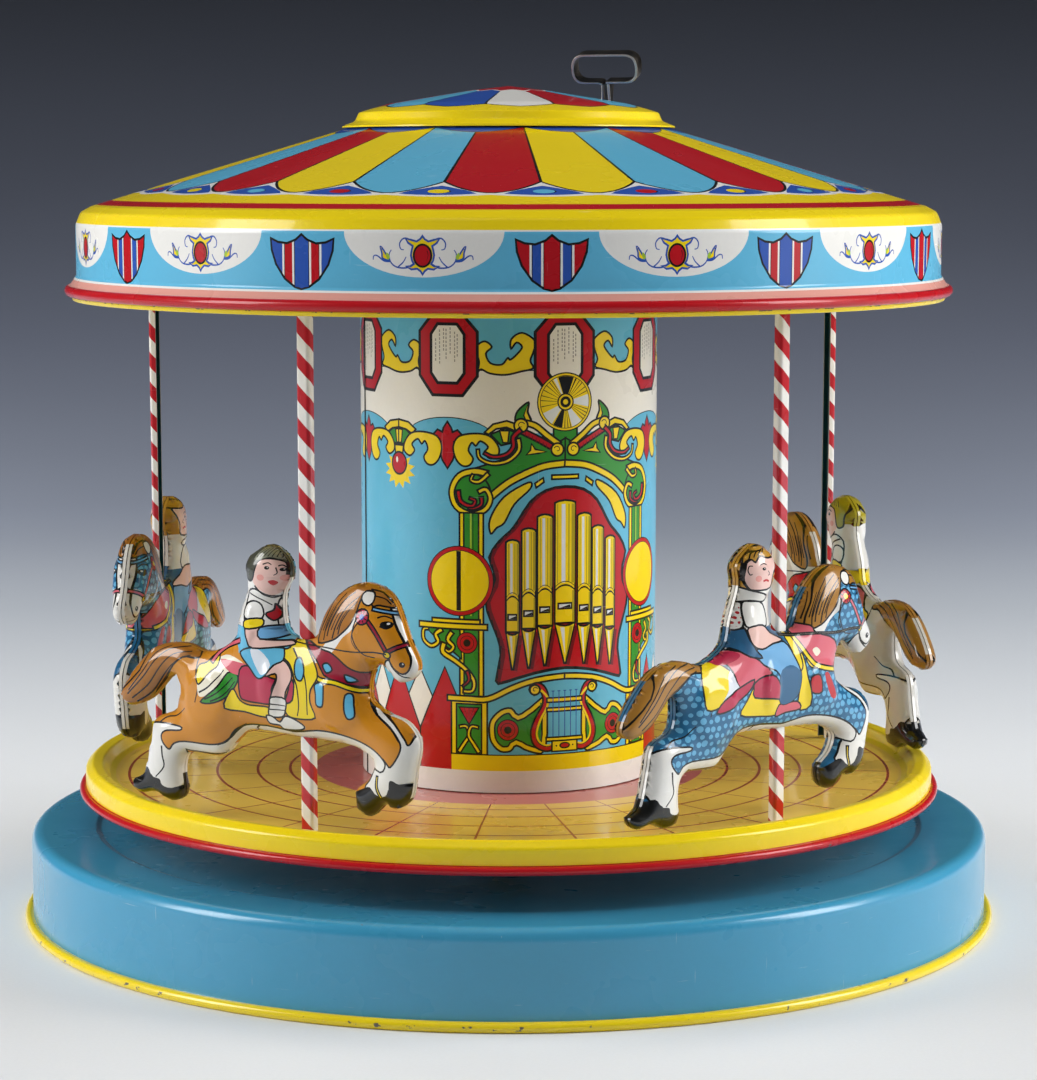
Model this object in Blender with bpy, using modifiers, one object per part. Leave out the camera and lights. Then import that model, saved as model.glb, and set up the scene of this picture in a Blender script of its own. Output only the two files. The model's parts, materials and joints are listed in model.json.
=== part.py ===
"""Clockwork tinplate merry-go-round, free standing, about 300 mm across.

A plain drum-like base pan carries one fixed upright spindle.  Everything above
the pan turns about it: the deck with its five horses, the decorated column and
the roof.  The spring motor rides in the hollow roof.  Its great wheel rolls
round a pinion fixed to the top of the spindle, and the key that winds it
stands up through the roof cap, beside the middle.

Frame: +Z up, origin at the middle of the ring that the base stands on, -Y
towards the front.  Lengths below are in millimetres and become metres in mm().
"""
import math

import bmesh
import bpy
from mathutils import Vector
from mathutils.geometry import delaunay_2d_cdt

OBJECT_NAME = "tin_carousel"

# ---- driving dimensions, millimetres ---------------------------------------
TIN = 0.6                    # sheet thickness of pressed tinplate
GAP = 0.3                    # clearance between neighbouring pieces
SIDES_LARGE = 32             # facets round the big turned shells
SIDES_SMALL = 12             # facets round rods, bushes and screws

BASE_WALL_R = 147.2
BASE_BEAD_R = 1.25
BASE_CORNER = 3.6            # bend between the wall and the top
BASE_TOP_Z = 27.7            # middle of the sheet on the raised outer ring
BASE_STEP_R = 127.5          # the top is a little lower inside this radius
BASE_STEP = 0.8

DECK_WALL_R = 130.4
DECK_BEAD_R = 0.95
DECK_BEAD_Z = 40.0
DECK_FLOOR_Z = 43.4
DECK_RIM_Z = 47.7

COLUMN_R = 45.0
CEILING_Z = 190.6
CEILING_LIP_Z = 189.0
CEILING_LIP_R = 131.7

VALANCE_R = 130.1
SHOULDER_Z = 211.5
CONE_START = (125.6, 216.2)
CONE_SLOPE = 0.30
ROOF_BEAD_R = 1.35
ROOF_BEAD_Z = 191.65
ROOF_BEAD_AT_R = 132.35
CANOPY_OPENING_R = 43.0

CAP_BRIM_R = 50.0
CAP_WALL_R = 45.0
CAP_EDGE_Z = 244.5
CAP_APEX_Z = 251.9

POLE_COUNT = 5
POLE_PITCH_R = 113.3
POLE_FIRST_ANGLE = -29.6     # degrees from the front, positive towards +X
POLE_WIDTH = 4.4
POLE_DEPTH = 2.4
POLE_SHEET = 0.5

HORSE_SEAM = 0.3             # gap between the two halves of a horse
HORSE_EDGE = 0.95            # height of the straight edge of a half
HORSE_SHEET = 0.4
HORSE_SWELL = 1.75           # relief grows with the root of the edge distance
HORSE_GRID = 12.0            # spacing of points inside the outline
HORSE_MARGIN = 2.6           # those points keep this far inside the outline
HORSE_NOTCH_CLEARANCE = 0.35

SPINDLE_R = 3.0
SPINDLE_BOTTOM_Z = 14.0
SPINDLE_TOP_Z = 205.0
BORE_R = SPINDLE_R + 0.35

# ---- clockwork --------------------------------------------------------------
KEY_XY = (30.0, 6.0)         # winding arbor, seen from above
GEAR_PRESSURE_ANGLE = math.radians(20.0)
GEAR_BACKLASH = 0.34
SUN_TEETH = 12
GREAT_TEETH = 36
SECOND_PINION_TEETH = 8
SECOND_TEETH = 24
FLY_PINION_TEETH = 8
GREAT_MODULE = 2.0 * math.hypot(*KEY_XY) / (SUN_TEETH + GREAT_TEETH)
SECOND_MODULE = 1.0
RATCHET_TEETH = 12
RATCHET_TIP_R = 9.5
RATCHET_ROOT_R = 7.8

CLICK_STUD_R = 0.9
CLICK_STUD_HEAD_R = 1.9
CLICK_STUD_AT = 16.0         # from the winding arbor
CLICK_TIP_ANGLE = math.radians(-84.5)    # its tip stands in a tooth gap here
CLICK_ANGLE = CLICK_TIP_ANGLE + math.radians(38.0)
CLICK_SPRING_STRIP = 0.5
CLICK_SPRING_PATH = ((20.6, 20.0), (20.4, 0.0), (18.4, -18.0), (12.6, -31.0))

SECOND_DIRECTION = math.radians(122.0)   # from the winding arbor
FLY_DIRECTION = math.radians(158.0)      # from the second arbor
SECOND_DISTANCE = GREAT_MODULE * (GREAT_TEETH + SECOND_PINION_TEETH) / 2.0
FLY_DISTANCE = SECOND_MODULE * (SECOND_TEETH + FLY_PINION_TEETH) / 2.0

PLATE_BOTTOM_Z = 191.3
PLATE_TOP_Z = 226.0
PLATE_THICKNESS = 1.0
SECOND_WHEEL_Z = 194.6
SECOND_WHEEL_T = 1.4
GREAT_WHEEL_Z = 199.0
GREAT_WHEEL_T = 2.4
RATCHET_Z = 202.2
RATCHET_T = 1.6
SPRING_Z = 206.0
SPRING_HEIGHT = 14.0
SPRING_STRIP = 0.5
SPRING_INNER_R = 2.85
SPRING_OUTER_R = 14.0
SPRING_TURNS = 4
SPRING_POINTS = 60
SPRING_PILLAR = 2            # the outer end hooks round this pillar, from 0
ARBOR_R = 2.2
PIVOT_R = 1.4
ARBOR_TOP_Z = 240.0
PILLARS = ((-14.0, -16.0), (56.0, -14.0), (54.0, 26.0), (-14.0, 48.0))
PILLAR_R = 2.4
PILLAR_END_R = 1.3
SCREWS = ((-12.0, 14.0), (20.0, -14.0), (36.0, 37.0))
SCREW_R = 1.2
SCREW_HEAD_R = 2.6
SCREW_HEAD_T = 1.4
SCREW_END_Z = 186.5
VANE_REACH = 7.0
VANE_SHEET = 0.7
VANE_Z = 204.0
VANE_HEIGHT = 16.0

KEY_WIDTH = 22.6
KEY_HEIGHT = 11.2
KEY_STRIP = 1.8
KEY_DEPTH = 6.0
KEY_STEM = 3.0
KEY_BEND = 3.6
KEY_LOOP_Z = 251.6
CAP_HOLE_R = 4.0


def mm(*values):
    """Millimetres to metres, as one number or as a tuple."""
    scaled = tuple(value * 0.001 for value in values)
    return scaled[0] if len(scaled) == 1 else scaled


def polar(radius, angle, centre=(0.0, 0.0)):
    return (centre[0] + radius * math.cos(angle), centre[1] + radius * math.sin(angle))


SECOND_XY = polar(SECOND_DISTANCE, SECOND_DIRECTION, KEY_XY)
FLY_XY = polar(FLY_DISTANCE, FLY_DIRECTION, SECOND_XY)

# ---- outline of one stamping: horse and rider, seen from its right ----------
# (along the ride, height above the table); the pole is at 0 along the ride.
HORSE_OUTLINE = (
    # rider's head, breast and lap
    (-12.5, 124.2), (-8.0, 123.0), (-5.0, 119.8), (-4.7, 115.6), (-7.0, 110.7),
    (-6.6, 102.5), (-3.6, 99.2),
    # pommel, mane, ears and forehead
    (3.6, 99.4), (7.2, 106.8), (13.0, 113.2), (19.5, 115.8), (26.0, 114.3),
    (30.0, 109.8), (33.4, 101.0),
    # muzzle, jaw, throat and chest
    (36.8, 94.0), (34.6, 90.2), (30.5, 89.3), (25.8, 93.4), (22.2, 91.8), (21.2, 84.0),
    # forelegs and their hooves
    (26.0, 80.2), (33.0, 77.9), (36.8, 72.5), (35.4, 64.0), (34.0, 57.0), (29.5, 53.5),
    (26.0, 54.6), (21.5, 50.8), (17.4, 52.2), (16.6, 57.6), (21.0, 61.4), (22.6, 66.4),
    # belly
    (16.0, 70.0), (3.6, 71.0), (-3.6, 71.2), (-17.5, 71.8), (-22.8, 68.4), (-28.5, 63.2),
    # hind legs and their hooves
    (-39.5, 63.2), (-42.2, 58.6), (-41.9, 50.6), (-46.2, 48.4), (-51.8, 50.4),
    (-57.4, 49.8), (-59.8, 53.0), (-55.4, 56.0), (-53.0, 65.0), (-51.0, 72.0),
    (-43.6, 75.6),
    # thigh and tail
    (-42.8, 84.0), (-46.0, 84.6), (-53.0, 77.6), (-60.0, 75.0), (-63.2, 78.4),
    (-57.6, 86.8), (-50.0, 93.0), (-41.0, 94.4), (-32.5, 92.6),
    # cantle and the rider's back
    (-23.6, 96.8), (-21.4, 104.0), (-18.2, 113.2), (-18.6, 119.4),
)

COLOURS = {
    # name: (red, green, blue, roughness, metallic)
    "base_blue": (0.075, 0.26, 0.38, 0.35, 0.0),
    "deck_yellow": (0.78, 0.55, 0.06, 0.35, 0.0),
    "column_blue": (0.28, 0.60, 0.78, 0.35, 0.0),
    "ceiling_yellow": (0.80, 0.58, 0.10, 0.35, 0.0),
    "canopy_print": (0.40, 0.62, 0.80, 0.35, 0.0),
    "cap_yellow": (0.85, 0.66, 0.05, 0.35, 0.0),
    "pole_red": (0.55, 0.03, 0.03, 0.4, 0.0),
    "horse_print": (0.70, 0.36, 0.07, 0.4, 0.0),
    "steel": (0.42, 0.42, 0.43, 0.35, 1.0),
    "brass": (0.62, 0.47, 0.18, 0.35, 1.0),
    "spring_steel": (0.20, 0.22, 0.28, 0.35, 1.0),
    "key_nickel": (0.32, 0.27, 0.22, 0.4, 1.0),
}


# ---- scene helpers ----------------------------------------------------------
def clear_scene():
    for obj in list(bpy.data.objects):
        bpy.data.objects.remove(obj, do_unlink=True)


def make_collection(name):
    collection = bpy.data.collections.new(name)
    bpy.context.scene.collection.children.link(collection)
    return collection


def make_material(name):
    red, green, blue, roughness, metallic = COLOURS[name]
    material = bpy.data.materials.get(name) or bpy.data.materials.new(name)
    material.use_nodes = True
    shader = material.node_tree.nodes["Principled BSDF"]
    shader.inputs["Base Color"].default_value = (red, green, blue, 1.0)
    shader.inputs["Roughness"].default_value = roughness
    shader.inputs["Metallic"].default_value = metallic
    return material


def add_object(name, data, material, location=(0.0, 0.0, 0.0)):
    obj = bpy.data.objects.new(name, data)
    obj.location = location
    if material:
        data.materials.append(make_material(material))
        PARTS.objects.link(obj)
    else:
        obj.display_type = "WIRE"
        obj.hide_render = True
        CUTTERS.objects.link(obj)
    return obj


def mesh_from(name, vertices, edges=(), faces=()):
    mesh = bpy.data.meshes.new(name)
    mesh.from_pydata([Vector(v) for v in vertices], list(edges), list(faces))
    mesh.update()
    return mesh


def add_solidify(obj, thickness, offset):
    shell = obj.modifiers.new("sheet", "SOLIDIFY")
    shell.thickness = mm(thickness)
    shell.offset = offset
    shell.use_even_offset = True


def cut(obj, cutter):
    boolean = obj.modifiers.new("cut", "BOOLEAN")
    boolean.operation = "DIFFERENCE"
    boolean.object = cutter


def turned(name, profile, material, sides=SIDES_SMALL, closed=True, location=(0.0, 0.0)):
    """A turned piece: its profile (radius, height) swept once round +Z.

    A closed profile that touches the axis at both ends is left open there.
    """
    points = [mm(radius, 0.0, height) for radius, height in profile]
    edges = [(i, i + 1) for i in range(len(points) - 1)]
    on_axis = profile[0][0] == 0.0 and profile[-1][0] == 0.0
    if closed and not on_axis:
        edges.append((len(points) - 1, 0))
    obj = add_object(name, mesh_from(name, points, edges), material, (*mm(*location), 0.0))
    screw = obj.modifiers.new("turn", "SCREW")
    screw.axis = "Z"
    screw.steps = sides
    screw.render_steps = sides
    screw.use_merge_vertices = True
    screw.merge_threshold = 0.00001
    return obj


def turned_shell(name, profile, material, sides=SIDES_LARGE):
    """Pressed sheet: an open profile along the middle of the sheet."""
    obj = turned(name, profile, material, sides, closed=False)
    add_solidify(obj, TIN, 0.0)
    return obj


def flat(name, outlines, z_low, thickness, material, location=(0.0, 0.0)):
    """A flat piece from closed outlines; the inner ones are its holes."""
    curve = bpy.data.curves.new(name, "CURVE")
    curve.dimensions = "2D"
    curve.fill_mode = "BOTH"
    curve.extrude = mm(thickness) / 2.0
    for outline in outlines:
        spline = curve.splines.new("POLY")
        spline.points.add(len(outline) - 1)
        spline.use_cyclic_u = True
        for point, (x, y) in zip(spline.points, outline):
            point.co = (*mm(x, y), 0.0, 1.0)
    middle = mm(z_low + thickness / 2.0)
    return add_object(name, curve, material, (*mm(*location), middle))


def circle(radius, centre=(0.0, 0.0), sides=SIDES_SMALL, phase=0.0):
    step = 2.0 * math.pi / sides
    return [polar(radius, phase + i * step, centre) for i in range(sides)]


def rod(name, radii_and_heights, material, location, sides=SIDES_SMALL):
    """A solid stepped rod: (radius, top of that step) from the top down, then the end."""
    steps, bottom = radii_and_heights[:-1], radii_and_heights[-1]
    profile = [(0.0, steps[0][1])]
    for i, (radius, top) in enumerate(steps):
        end = steps[i + 1][1] if i + 1 < len(steps) else bottom
        profile += [(radius, top), (radius, end)]
    profile.append((0.0, bottom))
    return turned(name, profile, material, sides, location=location)


# ---- shared profile pieces --------------------------------------------------
def rolled_bead(wall_radius, bead_radius, bead_z, degrees):
    """An edge rolled outwards and up, from the bottom of a vertical wall."""
    centre = (wall_radius + bead_radius, bead_z)
    return [polar(bead_radius, math.radians(angle), centre) for angle in degrees]


def corner(radius_out, top, bend, steps=2):
    """A rounded corner from a flat top to a vertical wall."""
    points = []
    for i in range(steps + 1):
        angle = math.radians(90.0 - 90.0 * i / steps)
        points.append((radius_out - bend + bend * math.cos(angle),
                       top - bend + bend * math.sin(angle)))
    return points


def cone_height(radius):
    return CONE_START[1] + (CONE_START[0] - radius) * CONE_SLOPE


# ---- base and fixed spindle -------------------------------------------------
def make_base():
    low_top = BASE_TOP_Z - BASE_STEP
    profile = [(BORE_R, low_top), (BASE_STEP_R - 1.0, low_top), (BASE_STEP_R, BASE_TOP_Z)]
    profile += corner(BASE_WALL_R, BASE_TOP_Z, BASE_CORNER)
    bead_z = BASE_BEAD_R * math.sin(math.radians(60.0)) + TIN / 2.0
    profile += rolled_bead(BASE_WALL_R, BASE_BEAD_R, bead_z, (180.0, 240.0, 300.0, 360.0, 420.0))
    turned_shell("base_pan", profile, "base_blue")


def ring(name, inner, outer, z_low, z_high, material, sides=SIDES_SMALL):
    profile = [(inner, z_high), (outer, z_high), (outer, z_low), (inner, z_low)]
    return turned(name, profile, material, sides)


def make_spindle():
    under = BASE_TOP_Z - BASE_STEP - TIN / 2.0
    over = under + TIN
    rod("spindle", [(SPINDLE_R, SPINDLE_TOP_Z), SPINDLE_BOTTOM_Z], "steel", (0.0, 0.0))
    ring("spindle_washer", BORE_R, 10.0, under - GAP - 1.0, under - GAP, "steel")
    nut_top = under - 2.0 * GAP - 1.0
    flat("spindle_nut", [circle(6.2, sides=6), circle(BORE_R)], nut_top - 5.0, 5.0, "steel")
    ring("spindle_collar", BORE_R, 8.0, over + GAP, 36.4, "steel")
    ring("thrust_washer", BORE_R, 10.0, 36.7, 37.5, "brass")


# ---- gears ------------------------------------------------------------------
def gear_outline(teeth, module, phase, flank_points=2):
    """Involute teeth; one tooth is centred on the angle phase."""
    pitch_r = teeth * module / 2.0
    base_r = pitch_r * math.cos(GEAR_PRESSURE_ANGLE)
    tip_r = pitch_r + 0.85 * module
    root_r = pitch_r - 1.1 * module
    half_pitch = math.pi / (2.0 * teeth) - GEAR_BACKLASH / (2.0 * 2.0 * pitch_r)

    def half_angle(radius):
        """Half the tooth's angle at a radius, on the involute flank."""
        def roll(r):
            tangent = math.sqrt(max((r / base_r) ** 2 - 1.0, 0.0))
            return tangent - math.atan(tangent)
        return half_pitch + roll(pitch_r) - roll(max(radius, base_r))

    start = max(base_r, root_r)
    radii = [start + (tip_r - start) * i / flank_points for i in range(flank_points + 1)]
    if root_r < base_r - 0.05:
        radii.insert(0, root_r)
    outline = []
    for tooth in range(teeth):
        middle = phase + 2.0 * math.pi * tooth / teeth
        outline += [polar(r, middle - half_angle(r)) for r in radii]
        outline += [polar(r, middle + half_angle(r)) for r in reversed(radii)]
    return outline


def meshing_phase(driver_teeth, driver_phase, driven_teeth, direction):
    """Phase of a wheel whose teeth stand between its neighbour's teeth."""
    offset = (direction - driver_phase) / (2.0 * math.pi / driver_teeth)
    return direction + math.pi - (0.5 - offset) * 2.0 * math.pi / driven_teeth


def gear(name, teeth, module, phase, bore, z_low, thickness, material, location):
    flank_points = 2 if teeth < 20 else 1
    outlines = [gear_outline(teeth, module, phase, flank_points), circle(bore)]
    return flat(name, outlines, z_low, thickness, material, location)


def ratchet_outline():
    """Saw teeth that the click holds one way; they repeat every 30 degrees."""
    outline = []
    for tooth in range(RATCHET_TEETH):
        start = 2.0 * math.pi * tooth / RATCHET_TEETH
        outline.append(polar(RATCHET_TIP_R, start))
        outline.append(polar(RATCHET_ROOT_R, start + math.radians(4.0)))
    return outline


def make_great_wheel():
    to_key = math.atan2(KEY_XY[1], KEY_XY[0])
    sun_phase = to_key
    great_phase = meshing_phase(SUN_TEETH, sun_phase, GREAT_TEETH, to_key)
    gear("sun_pinion", SUN_TEETH, GREAT_MODULE, sun_phase, BORE_R, 197.0, 6.4, "brass", (0.0, 0.0))
    outlines = [gear_outline(GREAT_TEETH, GREAT_MODULE, great_phase, 1), circle(ARBOR_R + GAP)]
    outlines.append(circle(CLICK_STUD_R + GAP, polar(CLICK_STUD_AT, CLICK_ANGLE), sides=8))
    flat("great_wheel", outlines, GREAT_WHEEL_Z, GREAT_WHEEL_T, "brass", KEY_XY)
    second_phase = meshing_phase(GREAT_TEETH, great_phase, SECOND_PINION_TEETH, SECOND_DIRECTION)
    wheel_phase = 0.0
    fly_phase = meshing_phase(SECOND_TEETH, wheel_phase, FLY_PINION_TEETH, FLY_DIRECTION)
    make_second_arbor(second_phase, wheel_phase)
    make_fly(fly_phase)


def make_second_arbor(pinion_phase, wheel_phase):
    """The second arbor carries its pinion above its wheel."""
    bottom = PLATE_BOTTOM_Z - 0.1
    top = PLATE_TOP_Z + PLATE_THICKNESS + 0.4
    rod("second_arbor", [(PIVOT_R, top), (ARBOR_R - 0.2, PLATE_TOP_Z - GAP),
                         (PIVOT_R, PLATE_BOTTOM_Z + PLATE_THICKNESS + GAP), bottom],
        "steel", SECOND_XY)
    gear("second_pinion", SECOND_PINION_TEETH, GREAT_MODULE, pinion_phase, ARBOR_R + 0.1,
         GREAT_WHEEL_Z - 0.8, GREAT_WHEEL_T + 1.6, "brass", SECOND_XY)
    gear("second_wheel", SECOND_TEETH, SECOND_MODULE, wheel_phase, ARBOR_R + 0.1,
         SECOND_WHEEL_Z, SECOND_WHEEL_T, "brass", SECOND_XY)


def make_fly(pinion_phase):
    """The fly is an air brake: two thin blades that spin fast and limit the speed."""
    bottom = PLATE_BOTTOM_Z - 0.1
    top = PLATE_TOP_Z + PLATE_THICKNESS + 0.4
    rod("fly_arbor", [(PIVOT_R * 0.6, top), (PIVOT_R, PLATE_TOP_Z - GAP),
                      (PIVOT_R * 0.6, PLATE_BOTTOM_Z + PLATE_THICKNESS + GAP), bottom],
        "steel", FLY_XY, sides=10)
    gear("fly_pinion", FLY_PINION_TEETH, SECOND_MODULE, pinion_phase, PIVOT_R + GAP,
         SECOND_WHEEL_Z - 0.8, SECOND_WHEEL_T + 1.6, "brass", FLY_XY)
    half, reach, hub = VANE_SHEET / 2.0, VANE_REACH, PIVOT_R + GAP
    outer = [(reach, half), (hub + 0.6, half), (1.2, hub + 0.5), (-1.2, hub + 0.5),
             (-hub - 0.6, half), (-reach, half), (-reach, -half), (-hub - 0.6, -half),
             (-1.2, -hub - 0.5), (1.2, -hub - 0.5), (hub + 0.6, -half), (reach, -half)]
    flat("fly_vane", [outer, circle(hub, sides=10)], VANE_Z, VANE_HEIGHT, "steel", FLY_XY)


# ---- motor frame, spring, click and key -------------------------------------
def make_motor_plates():
    """Two flat plates on four pillars, drilled for the arbors."""
    outline = [(-19.0, -21.0), (20.0, -21.0), (61.0, -19.0), (61.0, 31.0), (40.0, 44.0),
               (2.0, 53.0), (-19.0, 53.0)]
    pillar_holes = [circle(PILLAR_END_R + GAP, centre, 8) for centre in PILLARS]
    shared = pillar_holes + [circle(PIVOT_R + GAP, SECOND_XY, 10),
                             circle(PIVOT_R * 0.6 + GAP, FLY_XY, 8)]
    bottom_holes = [circle(6.4), circle(PIVOT_R + GAP, KEY_XY, 10)]
    bottom_holes += [circle(SCREW_R + GAP, centre, 8) for centre in SCREWS]
    flat("motor_bottom_plate", [outline] + shared + bottom_holes, PLATE_BOTTOM_Z,
         PLATE_THICKNESS, "steel")
    flat("motor_top_plate", [outline] + shared + [circle(ARBOR_R + GAP, KEY_XY, 12)],
         PLATE_TOP_Z, PLATE_THICKNESS, "steel")
    for index, centre in enumerate(PILLARS, 1):
        low = PLATE_BOTTOM_Z + PLATE_THICKNESS + GAP
        rod(f"motor_pillar_{index}",
            [(PILLAR_END_R, PLATE_TOP_Z + PLATE_THICKNESS + 0.8), (PILLAR_R, PLATE_TOP_Z - GAP),
             (PILLAR_END_R, low), PLATE_BOTTOM_Z - 0.1], "steel", centre, sides=10)
    for index, centre in enumerate(SCREWS, 1):
        head = PLATE_BOTTOM_Z + PLATE_THICKNESS + GAP
        rod(f"motor_screw_{index}",
            [(SCREW_HEAD_R, head + SCREW_HEAD_T), (SCREW_R, head), SCREW_END_Z],
            "steel", centre, sides=10)


def make_mainspring():
    """A coil of spring steel on the winding arbor; its outer end hooks round a pillar."""
    pillar = Vector(PILLARS[SPRING_PILLAR]) - Vector(KEY_XY)
    hook_r = PILLAR_R + GAP + SPRING_STRIP / 2.0
    leave = math.atan2(pillar.y, pillar.x)
    leave -= math.acos((SPRING_OUTER_R - hook_r) / pillar.length)
    sweep = 2.0 * math.pi * SPRING_TURNS + leave
    growth = SPRING_OUTER_R - SPRING_INNER_R
    outer, inner = [], []
    for i in range(SPRING_POINTS):
        share = i / (SPRING_POINTS - 1)
        radius = SPRING_INNER_R + growth * share
        outer.append(polar(radius + SPRING_STRIP / 2.0, sweep * share))
        inner.append(polar(radius - SPRING_STRIP / 2.0, sweep * share))
    for i in range(9):
        angle = leave + math.radians(30.0 * i)
        outer.append(polar(hook_r + SPRING_STRIP / 2.0, angle, pillar))
        inner.append(polar(hook_r - SPRING_STRIP / 2.0, angle, pillar))
    flat("mainspring", [outer + inner[::-1]], SPRING_Z, SPRING_HEIGHT, "spring_steel", KEY_XY)


def make_click():
    """The click, its stud and its wire spring sit on the great wheel."""
    stud = Vector(polar(CLICK_STUD_AT, CLICK_ANGLE, KEY_XY))
    tip = Vector(polar(RATCHET_ROOT_R + 0.5, CLICK_TIP_ANGLE, KEY_XY))
    along = (tip - stud).normalized()
    back = Vector((along.y, -along.x))
    if (stud + back - Vector(KEY_XY)).length < (stud - Vector(KEY_XY)).length:
        back = -back
    points = [stud - along * 2.4 - back * 1.2, stud - along * 2.4 + back * 1.2,
              stud + along * 2.0 + back * 2.0, tip + back * 0.8, tip,
              stud + along * 3.0 - back * 1.6]
    local = [tuple(point - stud) for point in points]
    flat("click", [local, circle(CLICK_STUD_R + GAP, sides=8)], RATCHET_Z, RATCHET_T, "steel",
         tuple(stud))
    rod("click_stud", [(CLICK_STUD_HEAD_R, RATCHET_Z + RATCHET_T + 1.2),
                       (CLICK_STUD_R, RATCHET_Z + RATCHET_T + GAP), GREAT_WHEEL_Z + 0.4],
        "steel", tuple(stud), sides=8)
    half = CLICK_SPRING_STRIP / 2.0
    outer, inner = [], []
    for radius, degrees in CLICK_SPRING_PATH:
        angle = CLICK_ANGLE + math.radians(degrees)
        outer.append(polar(radius + half, angle, KEY_XY))
        inner.append(polar(radius - half, angle, KEY_XY))
    flat("click_spring", [outer + inner[::-1]], RATCHET_Z, RATCHET_T, "spring_steel")


def make_winding_arbor():
    rod("winding_arbor", [(ARBOR_R, ARBOR_TOP_Z),
                          (PIVOT_R, PLATE_BOTTOM_Z + PLATE_THICKNESS + GAP),
                          PLATE_BOTTOM_Z - 0.1], "steel", KEY_XY)
    flat("ratchet_wheel", [ratchet_outline(), circle(ARBOR_R + GAP)], RATCHET_Z, RATCHET_T,
         "steel", KEY_XY)


def rounded_rectangle(width, height, bend, centre, steps):
    points = []
    for quarter, (sx, sy) in enumerate(((1, 1), (-1, 1), (-1, -1), (1, -1))):
        middle = (centre[0] + sx * (width / 2.0 - bend), centre[1] + sy * (height / 2.0 - bend))
        for i in range(steps + 1):
            angle = math.radians(90.0 * quarter + 90.0 * i / steps)
            points.append(polar(bend, angle, middle))
    return points


def make_key():
    """A strip bent to an oblong grip on a stem, standing on the winding arbor."""
    centre = (0.0, KEY_LOOP_Z + KEY_HEIGHT / 2.0 - ARBOR_TOP_Z)
    bend_steps = 4
    loop = rounded_rectangle(KEY_WIDTH, KEY_HEIGHT, KEY_BEND, centre, bend_steps)
    hole = rounded_rectangle(KEY_WIDTH - 2.0 * KEY_STRIP, KEY_HEIGHT - 2.0 * KEY_STRIP,
                             KEY_BEND - KEY_STRIP, centre, bend_steps)
    low = centre[1] - KEY_HEIGHT / 2.0
    stem = [(-KEY_STEM / 2.0, low), (-KEY_STEM / 2.0, GAP), (KEY_STEM / 2.0, GAP),
            (KEY_STEM / 2.0, low)]
    three_corners = 3 * (bend_steps + 1)
    outline = loop[:three_corners] + stem + loop[three_corners:]
    obj = flat("key", [outline, hole], 0.0, KEY_DEPTH, "key_nickel")
    obj.rotation_euler = (math.radians(90.0), 0.0, 0.0)
    obj.location = mm(*KEY_XY, ARBOR_TOP_Z)


# ---- turning body: deck, column, roof ---------------------------------------
def make_deck():
    profile = [(6.4, DECK_FLOOR_Z), (121.0, DECK_FLOOR_Z), (123.6, 45.0), (125.6, 47.2),
               (127.8, DECK_RIM_Z), (129.7, 46.8), (DECK_WALL_R, 44.6)]
    profile += rolled_bead(DECK_WALL_R, DECK_BEAD_R, DECK_BEAD_Z, (180.0, 255.0, 330.0, 405.0))
    turned_shell("deck", profile, "deck_yellow")
    floor_top = DECK_FLOOR_Z + TIN / 2.0
    turned("deck_hub", [(BORE_R, 52.0), (5.2, 52.0), (5.2, 45.6), (11.0, 45.6),
                        (11.0, floor_top + GAP), (6.0, floor_top + GAP), (6.0, 37.8),
                        (BORE_R, 37.8)], "brass")


def make_column():
    low = DECK_FLOOR_Z + TIN / 2.0 + GAP
    high = CEILING_Z - TIN / 2.0 - GAP
    turned_shell("column", [(COLUMN_R, high), (COLUMN_R, low)], "column_blue")


def make_ceiling():
    profile = [(6.4, CEILING_Z), (125.0, CEILING_Z), (127.5, CEILING_LIP_Z),
               (131.0, CEILING_LIP_Z), (CEILING_LIP_R, 189.4)]
    ceiling = turned_shell("ceiling", profile, "ceiling_yellow")
    for index, centre in enumerate(SCREWS, 1):
        drill = rod(f"ceiling_drill_{index}", [(SCREW_R + GAP, CEILING_Z + 5.0), CEILING_Z - 5.0],
                    None, centre, sides=8)
        cut(ceiling, drill)
    plate_top = PLATE_BOTTOM_Z + PLATE_THICKNESS
    turned("ceiling_hub", [(BORE_R, 194.0), (9.0, 194.0), (9.0, plate_top + GAP),
                           (6.0, plate_top + GAP), (6.0, 187.0), (BORE_R, 187.0)], "brass")


def make_canopy():
    """Roof: cone, rounded shoulder, upright valance and a flared rolled edge."""
    profile = [(CANOPY_OPENING_R, cone_height(CANOPY_OPENING_R)), CONE_START,
               (128.6, 214.3), (VALANCE_R, SHOULDER_Z), (VALANCE_R, 195.6), (131.2, 193.9)]
    centre = (ROOF_BEAD_AT_R, ROOF_BEAD_Z)
    for degrees in (75.0, 5.0, -65.0, -135.0):
        profile.append(polar(ROOF_BEAD_R, math.radians(degrees), centre))
    turned_shell("canopy", profile, "canopy_print")


def make_cap():
    brim_z = cone_height(CAP_BRIM_R) + TIN + 1.2 * GAP
    profile = [(0.0, CAP_APEX_Z), (12.0, 250.5), (36.0, 246.6), (CAP_WALL_R - 1.6, CAP_EDGE_Z),
               (CAP_WALL_R, CAP_EDGE_Z - 1.1), (CAP_WALL_R + 0.8, CAP_EDGE_Z - 2.9),
               (CAP_BRIM_R, brim_z)]
    cap = turned_shell("roof_cap", profile, "cap_yellow", sides=28)
    drill = rod("cap_drill", [(CAP_HOLE_R, CAP_APEX_Z + 5.0), CAP_EDGE_Z - 10.0], None, KEY_XY)
    cut(cap, drill)


# ---- poles and horses -------------------------------------------------------
def pole_angle(index):
    return math.radians(POLE_FIRST_ANGLE + index * 360.0 / POLE_COUNT)


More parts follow.
